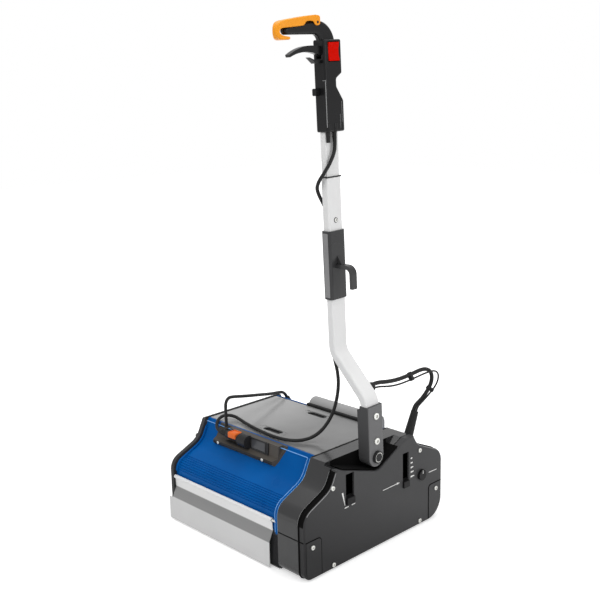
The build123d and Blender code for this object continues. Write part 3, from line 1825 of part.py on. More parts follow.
rear_wire_route = [
    wire_start,
    wire_start + pole_back * grommet_lead,
    (192, 70, 335.5),
    (197, 98, 334.5),
    (202, 127, 338),
    (206, 155, 342.5),
    (208.5, 182, 345.5),
    (209.5, 206, 344),
    (209, 219, 333),
    (207.5, 219, 317),
    (205.5, 209, 303),
    (203, 196, 292.5),
    (200.5, 184, 283),
    (198, 172.5, 275),
    wire_end + boot_axis * boot_lead,
    wire_end,
]
cord(rear_wire_route, wire_radius, "rear_wire")
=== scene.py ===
import bpy
import json
import math
from mathutils import Matrix, Vector


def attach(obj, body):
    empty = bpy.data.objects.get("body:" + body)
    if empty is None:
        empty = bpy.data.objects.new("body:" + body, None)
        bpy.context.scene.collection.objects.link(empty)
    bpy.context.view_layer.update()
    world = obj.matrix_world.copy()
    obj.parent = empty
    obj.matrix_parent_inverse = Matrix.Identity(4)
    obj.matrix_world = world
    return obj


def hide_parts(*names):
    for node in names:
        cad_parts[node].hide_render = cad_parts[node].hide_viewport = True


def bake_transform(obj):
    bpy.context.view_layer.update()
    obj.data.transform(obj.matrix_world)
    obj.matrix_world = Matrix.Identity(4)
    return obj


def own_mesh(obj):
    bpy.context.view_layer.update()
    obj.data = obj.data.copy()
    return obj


# A walk-behind floor scrubber, dressed around its solids. Metres, X across, -Y to the front, Z up.

MM = 0.001
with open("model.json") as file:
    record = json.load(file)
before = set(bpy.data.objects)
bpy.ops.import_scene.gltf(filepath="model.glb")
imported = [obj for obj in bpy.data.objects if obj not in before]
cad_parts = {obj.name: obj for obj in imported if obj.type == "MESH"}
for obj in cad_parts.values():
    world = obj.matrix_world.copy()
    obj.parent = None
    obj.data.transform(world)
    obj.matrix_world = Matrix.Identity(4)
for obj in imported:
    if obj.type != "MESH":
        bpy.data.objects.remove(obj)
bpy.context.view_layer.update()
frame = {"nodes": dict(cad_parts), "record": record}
nodes = frame["nodes"]
scene = bpy.context.scene
scene.view_settings.view_transform = "Standard"

# The pole leans forward a little from its pivot, and its pieces are placed along it
LEAN = math.radians(2.2)
PIVOT = Vector((0, 4, 204)) * MM
POLE_UP = Vector((0, -math.sin(LEAN), math.cos(LEAN)))
POLE_BACK = Vector((0, math.cos(LEAN), math.sin(LEAN)))


def on_pole(x, across, height):
    """A place in metres from millimetres across, back from and up the leaning pole."""
    return Vector((x * MM, 0, 0)) + PIVOT + POLE_BACK * across * MM + POLE_UP * height * MM


# Camera, fitted to the photograph, and light

camera = bpy.data.objects.new("camera", bpy.data.cameras.new("camera"))
camera.data.sensor_width = 36.0
camera.data.lens = 55.92
camera.location = (1.4271, -1.3639, 0.946)
camera.rotation_euler = (math.radians(77.468), math.radians(1.298), math.radians(46.0))
scene.collection.objects.link(camera)
scene.camera = camera


def softbox(name, place, target, size, power):
    """A large square studio lamp that faces a point."""
    lamp = bpy.data.lights.new(name, "AREA")
    lamp.shape = "SQUARE"
    lamp.size = size
    lamp.energy = power
    holder = bpy.data.objects.new(name, lamp)
    holder.location = place
    holder.rotation_euler = (Vector(target) - Vector(place)).to_track_quat("-Z", "Y").to_euler()
    scene.collection.objects.link(holder)


softbox("key_softbox", (0.6, -2.6, 2.6), (0, 0, 0.3), 2.2, 36)
softbox("side_softbox", (3.0, 0.9, 1.7), (0, 0, 0.3), 2.0, 34)
softbox("top_softbox", (-0.4, 0.4, 3.2), (0, 0, 0.2), 2.6, 40)

# Colours and materials


def colour(code):
    """A linear colour from an sRGB hex value."""
    parts = [int(code[i:i + 2], 16) / 255 for i in (1, 3, 5)]
    return [c / 12.92 if c <= 0.04045 else ((c + 0.055) / 1.055) ** 2.4 for c in parts] + [1.0]


def add_node(material, kind, settings, links={}):
    """Add a node with its settings, and run links from other sockets into it."""
    node = material.node_tree.nodes.new(kind)
    for name, value in settings.items():
        if isinstance(name, str) and hasattr(node, name):
            setattr(node, name, value)
        else:
            node.inputs[name].default_value = value
    for name, source in links.items():
        material.node_tree.links.new(source, node.inputs[name])
    return node


def new_material(name):
    """An empty material, and the place of each point in the piece."""
    material = bpy.data.materials.new(name)
    material.use_nodes = True
    material.node_tree.nodes.clear()
    return material, add_node(material, "ShaderNodeTexCoord", {}).outputs["Object"]


def surface(material, tint, worn_by, roughness, raised_by, strength, depth_mm, settings):
    """Close a material: its colour, a roughness that one pattern varies and a bump that another raises."""
    worn = add_node(material, "ShaderNodeMapRange", {"To Min": roughness[0], "To Max": roughness[1]},
                    {"Value": worn_by})
    bump = add_node(material, "ShaderNodeBump", {"Strength": strength, "Distance": depth_mm * MM},
                    {"Height": raised_by})
    shader = add_node(material, "ShaderNodeBsdfPrincipled", settings,
                      {"Base Color": tint, "Roughness": worn.outputs["Result"], "Normal": bump.outputs["Normal"]})
    add_node(material, "ShaderNodeOutputMaterial", {}, {"Surface": shader.outputs["BSDF"]})
    return material


PATCH_MM = 90
PLASTIC_IOR = 1.49


def moulding(name, base, patch, roughness, grain_mm, grain_depth, gloss=0.12, fade=None):
    """A moulded plastic: two close shades in soft patches, a fine grain in the mould and uneven gloss.

    A fade is a third shade painted in as light or shade: the direction along which it sets in and where it starts and
    ends, in millimetres.
    """
    material, place = new_material(name)
    drift = add_node(material, "ShaderNodeTexNoise", {"Scale": 1 / (PATCH_MM * MM), "Detail": 3.0}, {"Vector": place})
    tint = add_node(material, "ShaderNodeMix", {"data_type": "RGBA", 6: colour(base), 7: colour(patch)},
                    {0: drift.outputs["Fac"]})
    # The fade paints light or shade into the colour along one direction
    if fade:
        shade, way, start, end = fade
        along = add_node(material, "ShaderNodeVectorMath", {"operation": "DOT_PRODUCT", 1: way}, {0: place})
        painted_light_mask = add_node(material, "ShaderNodeMapRange", {"From Min": start * MM, "From Max": end * MM},
                         {"Value": along.outputs["Value"]})
        tint = add_node(material, "ShaderNodeMix", {"data_type": "RGBA", 7: colour(shade)},
                        {0: painted_light_mask.outputs["Result"], 6: tint.outputs[2]})
    grain = add_node(material, "ShaderNodeTexNoise", {"Scale": 1 / (grain_mm * MM), "Detail": 2.0}, {"Vector": place})
    return surface(material, tint.outputs[2], drift.outputs["Fac"], (roughness - 0.05, roughness + 0.07),
                   grain.outputs["Fac"], 0.35, grain_depth, {"IOR": PLASTIC_IOR, "Specular IOR Level": gloss})


# Rotomoulded polyethylene in a deep blue: soft gloss over a fine orange peel of about 1.5 mm
blue_polyethylene = moulding("moulded_blue_polyethylene", "#024A8E", "#0662B0", 0.28, 1.5, 0.05, 0.04)
# Painted highlights on the edges of the covers' rims: pale, with a bright line of gloss
highlight_blue = moulding("painted_highlight_blue_polyethylene", "#5C9CE0", "#78B0EC", 0.18, 1.5, 0.02, 0.5)
# ABS side panels with a satin, lightly sparked mould grain, and painted shade that darkens them down to the floor and
# the front
black_abs = moulding("grained_black_abs", "#414142", "#474748", 0.36, 1.1, 0.05,
                     fade=("#2A2A2B", (0, 0.45, 0.9), 110, -40))
# The same ABS polished in the mould for the housing: darker, and it mirrors the light along its shoulder
polished_black_abs = moulding("polished_black_abs", "#262627", "#2C2C2D", 0.20, 1.4, 0.03, 0.40)
# Glass-filled nylon of the small fittings: darker and drier than the panels
black_nylon = moulding("glass_filled_black_nylon", "#262627", "#2E2E2F", 0.40, 0.8, 0.04)
# Nylon of the head, polished where hands rub it, so that its rounds catch the light
head_nylon = moulding("polished_black_nylon", "#181819", "#1E1E1F", 0.24, 0.9, 0.03, 0.15)
# Painted highlights on edges and ribs of the black pieces, pale and bright
highlight_nylon = moulding("painted_highlight_black_nylon", "#7C7C7D", "#8A8A8B", 0.24, 0.9, 0.02, 0.5)
# Nylon of the pole's sleeve, greyed along its length by the tube sliding through
sleeve_nylon = moulding("scuffed_black_nylon", "#2C2C2D", "#3C3C3D", 0.28, 0.8, 0.04, 0.24)
# The sleeve's front: pale grey, a painted reflection of the light
reflection_nylon = moulding("painted_reflection_grey_nylon", "#868687", "#929293", 0.50, 0.8, 0.04)
# Unfilled nylon of the levers and the dial, the darkest of them
lever_nylon = moulding("unfilled_black_nylon", "#171718", "#1D1D1E", 0.34, 0.9, 0.03)
# Charcoal nylon of the clevis, a shade lighter, and paler still on its outer face: painted light on the side that
# faces the side lamp
charcoal_nylon = moulding("glass_filled_charcoal_nylon", "#464647", "#4C4C4D", 0.42, 0.8, 0.04,
                          fade=("#707071", (1, 0, 0), 214.5, 216.5))
# Polypropylene of the grip lever, waxy and warm
orange_polypropylene = moulding("moulded_orange_polypropylene", "#F79A22", "#FDA730", 0.34, 1.2, 0.03)
# A deeper, redder polypropylene for the cable plug
plug_polypropylene = moulding("moulded_red_orange_polypropylene", "#E0682A", "#EA7636", 0.36, 1.2, 0.03)
# Polycarbonate of the rocker, smooth and bright
red_polycarbonate = moulding("moulded_red_polycarbonate", "#CC0A00", "#D61203", 0.22, 1.4, 0.01, 0.03)
# Grey ABS of the hood, pick-up drum, tensioner and bushes
grey_abs = moulding("moulded_grey_abs", "#9A9A9A", "#A6A6A6", 0.36, 1.2, 0.04)
# Smoke-grey polycarbonate of the connector's window, dull behind its frame
smoke_grey = moulding("smoke_grey_polycarbonate", "#46474A", "#4E4F52", 0.24, 1.4, 0.01, 0.2)
# Warm black ABS of the connector's housing
brown_black_abs = moulding("warm_black_abs", "#4A4641", "#524D48", 0.38, 1.0, 0.04)
# White polyethylene of the tanks and brush cores, slightly cloudy
white_polyethylene = moulding("moulded_white_polyethylene", "#D0D0CC", "#DADAD6", 0.45, 1.6, 0.04)
# Screen-printed enamel of the panel's marks
white_paint = moulding("white_screen_enamel", "#E6E6E4", "#EEEEEC", 0.40, 0.8, 0.01)
# Soft PVC of cords, boots and glands: matt, with a faint drawn skin
black_pvc = moulding("extruded_black_pvc", "#232323", "#2B2B2B", 0.42, 0.9, 0.03)
# Near-black matt finish that takes nearly all the light: painted shade in the pocket lining and the edge bands, and
# the colour of the dark joints
shade_and_joint_black = moulding("painted_shade_and_joint_black", "#0C0C0C", "#121212", 0.80, 0.6, 0.10, 0.03)
# Nitrile rubber of the seal, belt and glides
black_rubber = moulding("moulded_black_rubber", "#1E1E1E", "#262626", 0.62, 1.0, 0.05)
# White powder coat on the pole, with its fine leather-like texture
white_powder_coat = moulding("white_powder_coat", "#E4E4E4", "#ECECEC", 0.38, 1.3, 0.03)
# Grey stoving enamel on the motor
motor_enamel = moulding("grey_stove_enamel", "#55585C", "#60646A", 0.38, 1.6, 0.05)
# Nylon filament of the brushes, dark, with paler tufts among it
black_filament = moulding("nylon_brush_filament", "#242426", "#3A3A3C", 0.40, 2.2, 0.02)


def folded_sheet():
    """Grey PVC sheet of the visors, slightly wavy, with painted shade on the bent strip between its folds and painted
    light on the flange above.
    """
    low_fold, high_fold = 58, 80
    material, place = new_material("folded_grey_pvc_sheet")
    wave = add_node(material, "ShaderNodeTexNoise", {"Scale": 1 / (70 * MM), "Detail": 2.0}, {"Vector": place})
    tint = add_node(material, "ShaderNodeMix", {"data_type": "RGBA", 6: colour("#D2D2D2"), 7: colour("#DADADA")},
                    {0: wave.outputs["Fac"]})
    height = add_node(material, "ShaderNodeSeparateXYZ", {}, {"Vector": place}).outputs["Z"]
    # Painted shade: the strip between the folds is darker
    above = add_node(material, "ShaderNodeMapRange",
                     {"From Min": (low_fold - 1.5) * MM, "From Max": (low_fold + 0.5) * MM}, {"Value": height})
    below = add_node(material, "ShaderNodeMapRange",
                     {"From Min": (high_fold + 1.5) * MM, "From Max": (high_fold - 0.5) * MM}, {"Value": height})
    strip = add_node(material, "ShaderNodeMath", {"operation": "MULTIPLY"},
                     {0: above.outputs["Result"], 1: below.outputs["Result"]})
    sheet = add_node(material, "ShaderNodeMix", {"data_type": "RGBA", 7: colour("#8E8E8E")},
                     {0: strip.outputs[0], 6: tint.outputs[2]})
    # Painted light: the flange above the upper fold is whiter
    top = add_node(material, "ShaderNodeMapRange",
                   {"From Min": (high_fold + 0.5) * MM, "From Max": (high_fold + 2.5) * MM}, {"Value": height})
    painted_light_flange = add_node(material, "ShaderNodeMix", {"data_type": "RGBA", 7: colour("#EDEDED")},
                      {0: top.outputs["Result"], 6: sheet.outputs[2]})
    return surface(material, painted_light_flange.outputs[2], wave.outputs["Fac"], (0.28, 0.40), wave.outputs["Fac"], 0.3, 0.6,
                   {"IOR": 1.53, "Specular IOR Level": 0.25})


grey_pvc_sheet = folded_sheet()


def metal(name, base, streak, roughness, streak_mm, depth):
    """A bare metal with fine streaks along X from its drawing or turning."""
    material, place = new_material(name)
    stretch = add_node(material, "ShaderNodeMapping", {"Scale": (0.08, 1.0, 1.0)}, {"Vector": place})
    lines = add_node(material, "ShaderNodeTexNoise", {"Scale": 1 / (streak_mm * MM), "Detail": 4.0},
                     {"Vector": stretch.outputs["Vector"]})
    tint = add_node(material, "ShaderNodeMix", {"data_type": "RGBA", 6: colour(base), 7: colour(streak)},
                    {0: lines.outputs["Fac"]})
    return surface(material, tint.outputs[2], lines.outputs["Fac"], (roughness - 0.06, roughness + 0.08),
                   lines.outputs["Fac"], 0.25, depth, {"Metallic": 1.0})


# Zinc-plated steel of screws, rods and shafts: pale, with soft turning lines
zinc_steel = metal("zinc_plated_steel", "#D2D2CE", "#BEBEBA", 0.30, 0.8, 0.02)
# Extruded aluminium of the bars and pulleys
drawn_aluminium = metal("extruded_aluminium", "#C9CBCC", "#B6B8BA", 0.36, 1.0, 0.02)


def smoked_sheet():
    """Smoked polycarbonate of the lid: a grey sheet that lets the tank show faintly through."""
    material, place = new_material("smoked_polycarbonate")
    haze = add_node(material, "ShaderNodeTexNoise", {"Scale": 1 / (150 * MM), "Detail": 3.0}, {"Vector": place})
    smoke = add_node(material, "ShaderNodeMix", {"data_type": "RGBA", 6: colour("#686868"), 7: colour("#989898")},
                     {0: haze.outputs["Fac"]})
    # A painted reflection pales the left half of the lid
    parts = add_node(material, "ShaderNodeSeparateXYZ", {}, {"Vector": place})
    left_reflection = add_node(material, "ShaderNodeMapRange", {"From Min": 20 * MM, "From Max": -190 * MM, "To Max": 0.45},
                     {"Value": parts.outputs["X"]})
    tint = add_node(material, "ShaderNodeMix", {"data_type": "RGBA", 7: colour("#E2E2E2")},
                    {0: left_reflection.outputs["Result"], 6: smoke.outputs[2]})
    worn = add_node(material, "ShaderNodeMapRange", {"To Min": 0.16, "To Max": 0.26}, {"Value": haze.outputs["Fac"]})
    shader = add_node(material, "ShaderNodeBsdfPrincipled", {"IOR": 1.58, "Alpha": 0.78},
                      {"Base Color": tint.outputs[2], "Roughness": worn.outputs["Result"]})
    add_node(material, "ShaderNodeOutputMaterial", {}, {"Surface": shader.outputs["BSDF"]})
    return material


smoked_polycarbonate = smoked_sheet()

finishes = {
    "blue_plastic": blue_polyethylene, "black_panel": black_abs, "black_plastic": black_nylon,
    "grey_plastic": grey_abs, "white_plastic": white_polyethylene, "smoked_plastic": smoked_polycarbonate,
    "visor_sheet": grey_pvc_sheet, "white_tube": white_powder_coat, "steel": zinc_steel,
    "aluminium": drawn_aluminium, "rubber": black_rubber, "orange_plastic": orange_polypropylene,
    "red_plastic": red_polycarbonate, "bristle": black_filament, "painted_motor": motor_enamel,
}
own_finish = {"pole_clevis": charcoal_nylon, "corner_plates": black_abs, "cord_boots": black_pvc,
              "cable_run": black_pvc, "cable_glands": black_pvc, "pole_grommet": black_pvc,
              "connector_housing": brown_black_abs, "drive_housing": polished_black_abs,
              "water_lever": lever_nylon, "pressure_lever": lever_nylon, "dial_knob": lever_nylon,
              "head_shell_left": head_nylon, "head_shell_right": head_nylon, "trigger": head_nylon,
              "front_button": head_nylon, "head_pins": black_nylon, "hook_sleeve": sleeve_nylon}


def coat(piece, material):
    """Give a piece one material all over."""
    piece.data.materials.clear()
    piece.data.materials.append(material)


for part in frame["record"]["subparts"]:
    coat(nodes[part["node"]], own_finish.get(part["node"], finishes[part["material_slot"]]))

# Ways of shaping a piece


def clear_hands():
    """Let go of everything, so that the next operator acts on its own piece alone."""
    bpy.ops.object.select_all(action="DESELECT")


def take(piece):
    """Hold one piece alone."""
    clear_hands()
    piece.select_set(True)
    bpy.context.view_layer.objects.active = piece


def settle():
    """Put the new piece's place, turn and size into its mesh."""
    bpy.ops.object.transform_apply(location=True, rotation=True, scale=True)
    return bpy.context.object


def draw_curve(name, kind, points, dimensions="3D"):
    """A curve of one spline through points in metres."""
    data = bpy.data.curves.new(name, "CURVE")
    data.dimensions = dimensions
    spline = data.splines.new(kind)
    spline.points.add(len(points) - 1)
    for point, place in zip(spline.points, points):
        point.co = (*place, 1.0)
    curve = bpy.data.objects.new(name, data)
    scene.collection.objects.link(curve)
    return curve


def as_mesh(curve):
    """A curve turned into a mesh."""
    take(curve)
    bpy.ops.object.convert(target="MESH")
    return bpy.context.object


def as_tube(curve, radius, steps):
    """A curve thickened to a round tube with closed ends, as a mesh."""
    curve.data.bevel_depth = radius * MM
    curve.data.bevel_resolution = steps
    curve.data.use_fill_caps = True
    tube = as_mesh(curve)
    bpy.ops.object.shade_smooth_by_angle(angle=math.radians(40))
    return tube


def enter(mode):
    """Go into EDIT mode to shape the piece in hand, or back to OBJECT mode."""
    bpy.ops.object.mode_set(mode=mode)


def hold_none(kind):
    """Let go of all faces or edges of the piece in hand, to choose among them."""
    enter("EDIT")
    bpy.ops.mesh.select_mode(type=kind)
    bpy.ops.mesh.select_all(action="DESELECT")
    enter("OBJECT")


def grab(piece, wanted):
    """Open a piece for shaping, with the faces held whose middle and normal are wanted."""
    hold_none("FACE")
    for face in piece.data.polygons:
        face.select = wanted(face.center, face.normal)
    enter("EDIT")


def pull(x, y, z):
    """Extrude what is held by millimetres."""
    bpy.ops.mesh.extrude_region_move(TRANSFORM_OT_translate={"value": (x * MM, y * MM, z * MM)})


def close_up(piece):
    """Turn a shaped piece's faces outwards, smooth what is round and leave edit mode."""
    enter("EDIT")
    bpy.ops.mesh.select_all(action="SELECT")
    bpy.ops.mesh.normals_make_consistent(inside=False)
    enter("OBJECT")
    bpy.ops.object.shade_smooth_by_angle(angle=math.radians(35))
    return piece


def dish(piece, wanted, rim, *depth):
    """Press a dish into the wanted face, inside a rim."""
    grab(piece, wanted)
    bpy.ops.mesh.inset(thickness=rim * MM)
    pull(*depth)
    return close_up(piece)


def open_through(piece, wanted, rim):
    """Open a way through the two wanted faces, inside a rim."""
    grab(piece, wanted)
    bpy.ops.mesh.inset(thickness=rim * MM, use_individual=True)
    bpy.ops.mesh.bridge_edge_loops()
    return close_up(piece)


def thicken(piece, thickness):
    """Give a thin sheet its thickness, half to each side."""
    solidify = piece.modifiers.new("thickness", "SOLIDIFY")
    solidify.thickness = thickness * MM
    solidify.offset = 0
    bpy.ops.object.modifier_apply(modifier=solidify.name)
    return close_up(piece)


def block(low, high, round_off=0.0, steps=3):
    """A block between two corners in millimetres, with its edges rounded."""
    clear_hands()
    low = Vector(low) * MM
    high = Vector(high) * MM
    bpy.ops.mesh.primitive_cube_add(size=1, location=(low + high) / 2, scale=high - low)
    piece = settle()
    if round_off:
        grab(piece, lambda middle, normal: True)
        bpy.ops.mesh.bevel(offset=round_off * MM, segments=steps, affect="EDGES")
        enter("OBJECT")
    return piece


def rod(radius, start, end, sides):
    """A rod along X between two places in millimetres."""
    clear_hands()
    bpy.ops.mesh.primitive_cylinder_add(
        vertices=sides, radius=radius * MM, depth=(end - start) * MM,
        location=((start + end) / 2 * MM, 0, 0), rotation=(0, math.pi / 2, 0))
    return settle()


def drum(radius, height, *place):
    """An upright drum round a place in millimetres."""
    clear_hands()
    bpy.ops.mesh.primitive_cylinder_add(vertices=32, radius=radius * MM, depth=height * MM,
                                        location=Vector(place) * MM)
    return settle()


def side_face(x, outline):
    """A flat face across X, from its outline in millimetres along Y and Z."""
    clear_hands()
    bpy.ops.mesh.primitive_circle_add(vertices=len(outline), radius=1, fill_type="NGON")
    face = bpy.context.object
    for vertex, (y, z) in zip(face.data.vertices, outline):
        vertex.co = (x * MM, y * MM, z * MM)
    return face


def turned(profile, sides=28):
    """A form turned about X: its end face is pulled and resized from one (x, radius) to the next."""
    (start, radius), (end, _) = profile[:2]
    piece = rod(radius, start, end, sides)
    grab(piece, lambda middle, normal: normal.x > 0.9 and abs(middle.x - end * MM) < 1e-6)
    for (x, radius), (next_x, next_radius) in zip(profile[1:], profile[2:]):
        pull(next_x - x, 0, 0)
        share = next_radius / radius
        bpy.ops.transform.resize(value=(1, share, share), center_override=(next_x * MM, 0, 0))
    return close_up(piece)


def socket_screw(radius, head, socket, shank, length):
    """A screw along X with a rounded head from x = 0 out and a six-sided socket in it."""
    screw = rod(radius, 0, head, 24)
    crown = 0.4 * head
    grab(screw, lambda middle, normal: normal.x > 0.9)
    bpy.ops.mesh.bevel(offset=crown * MM, segments=3, affect="EDGES")
    grab(screw, lambda middle, normal: normal.x > 0.99 and middle.yz.length < 1e-5)
    bpy.ops.mesh.inset(thickness=(radius - crown - socket) * MM)
    enter("OBJECT")
    floor_face = next(face for face in screw.data.polygons if face.select)
    for index in floor_face.vertices:
        corner = screw.data.vertices[index].co
        turn = math.atan2(corner.z, corner.y)
        flat = (turn % (math.pi / 3)) - math.pi / 6
        reach = socket * MM * math.cos(math.pi / 6) / math.cos(flat)
        corner.yz = (reach * math.cos(turn), reach * math.sin(turn))
    enter("EDIT")
    pull(-0.6 * head, 0, 0)
    grab(screw, lambda middle, normal: normal.x < -0.9 and middle.x < 1e-6)
    bpy.ops.mesh.inset(thickness=(radius - shank) * MM)
    pull(-length, 0, 0)
    return close_up(screw)


def joined(pieces):
    """Several pieces as one."""
    take(pieces[0])
    for piece in pieces:
        piece.select_set(True)
    bpy.ops.object.join()
    return pieces[0]


def blocks(*measures):
    """Several blocks as one finished piece."""
    return close_up(joined([block(*measure) for measure in measures]))


def copies(model, places):
    """Copies of a model moved to their places and joined in one piece. The model itself goes."""
    twins = []
    for place in places:
        twin = bpy.data.objects.new("copy", model.data.copy())
        twin.data.transform(place)
        scene.collection.objects.link(twin)
        twins.append(twin)
    bpy.data.objects.remove(model)
    return joined(twins)


def fit(name, piece, material, body="body"):
    """Name and coat a finished piece, and let it ride on its body."""
    piece.name = name
    coat(piece, material)
    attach(piece, body)


def shift(x, y, z):
    """A move in millimetres."""
    return Matrix.Translation(Vector((x, y, z)) * MM)


def pole_frame(x, across, height):
    """A place on the pole, turned with its lean."""
    return Matrix.Translation(on_pole(x, across, height)) @ Matrix.Rotation(LEAN, 4, "X")


def leaned(piece):
    """Move a piece that was drawn along an upright pole to the leaning one."""
    piece.data.transform(pole_frame(0, 0, 0))
    return piece


# Cords: the radius of each kind, and the plug's place along Y and Z, in millimetres

CABLE_RADIUS = 3.75
HOSE_RADIUS = 4.5
WIRE_RADIUS = 2.0
PLUG_Y, PLUG_Z = -126, 206


def lay_cord(name, node, route, radius):
    """A PVC cord along one smooth curve in place of its node, and the line of its middle."""
    curve = draw_curve(name, "NURBS", route)
    spline = curve.data.splines[0]
    spline.order_u = 3
    spline.use_endpoint_u = True
    spline.resolution_u = 8
    middle = bpy.data.meshes.new_from_object(curve)
    path = [vertex.co.copy() for vertex in middle.vertices]
    bpy.data.meshes.remove(middle)
    cord = as_tube(curve, radius, 3)
    coat(cord, black_pvc)
    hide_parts(node)
    return cord, path


def route(*places):
    """A route in metres from millimetres."""
    return [Vector(place) * MM for place in places]


upper_route = [on_pole(*place) for place in (
    (131, 1, 646), (131, 1, 634), (131, -6, 618), (130.5, -18, 602), (126, -28, 587), (115, -32, 572),
    (104.5, -29, 557), (101, -20, 541), (102, -11, 525), (104.05, -4, 509), (104.05, -4, 496))]
cable_upper, line = lay_cord("upper_cable", "cable_upper", upper_route, CABLE_RADIUS)
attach(cable_upper, "handle")
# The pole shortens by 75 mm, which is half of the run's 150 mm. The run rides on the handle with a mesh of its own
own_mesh(cable_upper)

loop_start = on_pole(104.05, -4, 240)
loop_route = [loop_start, loop_start - POLE_UP * 22 * MM] + route(
    (105.5, -4, 397), (108, 2, 370), (109, 4.5, 340), (107, 1, 308), (103, -7, 277), (96, -20, 252),
    (88, -37, 234), (79, -57, 225), (64, -79, 222.3), (38, -91, 221.6), (2, -94, 221.5), (-40, -91, 221.6),
    (-85, -84, 221.5), (-122, -76, 222.3), (-147, -72, 224.5), (-162, -79, 226.5), (-168, -95, 227),
    (-166, -109, 221.5), (-159, -119.5, 212.5), (-147, -125, 206.8), (-131, PLUG_Y, PLUG_Z), (-112, PLUG_Y, PLUG_Z))
cable_loop, loop_line = lay_cord("looped_cable", "cable_loop", loop_route, CABLE_RADIUS)
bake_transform(cable_loop)

jumper_lean = math.radians(27)
jumper_end = Vector((-188, 128, 212)) * MM
jumper_axis = Vector((0, -math.sin(jumper_lean), math.cos(jumper_lean)))
jumper_route = route(
    (-129, -114.5, 216.6), (-129, -114.5, 236), (-131.5, -113, 256), (-135.5, -108.5, 271), (-140, -96, 278),
    (-145, -77, 274), (-150, -52, 267.5), (-156, -24, 260.5), (-166, 20, 250), (-176, 63, 239.4),
    (-184, 95, 233.5)) + [jumper_end + jumper_axis * 18 * MM, jumper_end]
cable_jumper, line = lay_cord("jumper_cable", "cable_jumper", jumper_route, CABLE_RADIUS)
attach(cable_jumper, "body")

# The hose and the wire leave the pole side by side and end in one boot
boot_lean = math.radians(24)
boot_axis = Vector((0, math.sin(boot_lean), math.cos(boot_lean)))
boot_tip = Vector((192, 129, 193)) * MM + boot_axis * 72 * MM

hose_start = on_pole(185.65, 26, 144.6)
hose_end = boot_tip - Vector((4, 0, 0)) * MM
hose_route = [hose_start, hose_start + POLE_BACK * 18 * MM] + route(
    (189.5, 68, 346), (194, 96, 345), (197, 124, 347), (199, 150, 350.5), (200, 173, 352.5), (200.5, 193, 348),
    (200.5, 206, 334.5), (199.5, 206.5, 315), (197, 197, 299), (193.8, 185.5, 285), (190.5, 173.5, 275.5),
) + [hose_end + boot_axis * 10 * MM, hose_end]
rear_hose, line = lay_cord("rear_hose_run", "rear_hose", hose_route, HOSE_RADIUS)
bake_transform(rear_hose)

wire_start = on_pole(185.65, 26, 135.4)
wire_end = boot_tip + Vector((4, 0, 0)) * MM
wire_route = [wire_start, wire_start + POLE_BACK * 18 * MM] + route(
    (192, 70, 335.5), (197, 98, 334.5), (202, 127, 338), (206, 155, 342.5), (208.5, 182, 345.5),
    (209.5, 206, 344), (209, 219, 333), (207.5, 219, 317), (205.5, 209, 303), (203, 196, 292.5),
    (200.5, 184, 283), (198, 172.5, 275)) + [wire_end + boot_axis * 10 * MM, wire_end]
rear_wire, line = lay_cord("rear_wire_run", "rear_wire", wire_route, WIRE_RADIUS)
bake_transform(rear_wire)

# Screws and bolts: the panels' and corner plates' outer faces, and heights up the pole

PANEL_X = 218
PLATE_X = 219
CLEVIS_BOLTS = (35, 90)
LOCK_HEIGHT = 490
FACE_LEFT = Matrix.Rotation(math.pi, 4, "Z")
FACE_FRONT = Matrix.Rotation(-math.pi / 2, 4, "Z")

panel_places = ((-130, 177), (-131, 12), (144, 12), (143, 178))
plate_places = ((-190, 72), (199, 72))
screw_places = [shift(PANEL_X, y, z) for y, z in panel_places] + [shift(PLATE_X, y, z) for y, z in plate_places]
screw_places += [shift(-PANEL_X, y, z) @ FACE_LEFT for y, z in panel_places + plate_places]
panel_screws = copies(socket_screw(5.0, 2.5, 2.3, 2.5, 9.0), screw_places)
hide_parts("body_screws")
fit("panel_screws", panel_screws, zinc_steel)

bolts = copies(socket_screw(7.5, 3.5, 3.5, 4.0, 34.0), [pole_frame(217, 0, height) for height in CLEVIS_BOLTS])
lock = copies(socket_screw(4.0, 1.5, 1.7, 2.0, 3.0), [pole_frame(126, 0, LOCK_HEIGHT)])
nut_blank = turned([(0, 5.2), (0.6, 6.5), (2.4, 6.5), (3, 5.2)], 6)
nuts = copies(nut_blank, [pole_frame(183, 0, height) for height in CLEVIS_BOLTS])
pole_bolts = joined([bolts, lock, nuts])
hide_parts("pole_fasteners")
fit("pole_bolts", pole_bolts, zinc_steel, "handle")

pivot_cap = turned([(217, 13.3), (222.4, 13.3), (223.4, 12.3), (223.4, 10.6), (222.7, 10.2), (222.7, 9.4),
                    (223.4, 9.0)], 40)
pivot_cap.data.transform(Matrix.Translation(PIVOT))
fit("pivot_cap", pivot_cap, black_nylon, "handle")

lip_screws = copies(socket_screw(3.6, 1.6, 1.7, 2.0, 3.0),
                    [shift(x, -132.6, 180.5) @ FACE_FRONT for x in (-139, 10)])
fit("lip_screws", lip_screws, zinc_steel)

# Cable plug and strain relief

plug_profile = [(-112, 8.6), (-110, 10.4), (-104, 10.8)]
for rib in range(5):
    rib_x = -102 + 5 * rib
    plug_profile += [(rib_x, 11), (rib_x + 2.4, 11), (rib_x + 2.8, 10.2), (rib_x + 4.4, 10.2)]
plug_profile += [(-77, 11), (-67, 11), (-66, 10.2), (-66, 8), (-54.5, 8)]
plug_body = turned(plug_profile)
plug_body.data.transform(shift(0, PLUG_Y, PLUG_Z))
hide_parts("cable_plug")
fit("cable_plug_body", plug_body, black_nylon)

# The orange saddle that is gripped to pull the plug, with a thumb dish pressed in its top
saddle = block((-99, -137.6, 204.5), (-73, -114.8, 218.4), 3.2, 4)
dish(saddle, lambda middle, normal: normal.z > 0.95 and middle.z > 218 * MM, 2.4, 0, 0, -1.2)
fit("cable_plug_saddle", saddle, plug_polypropylene)

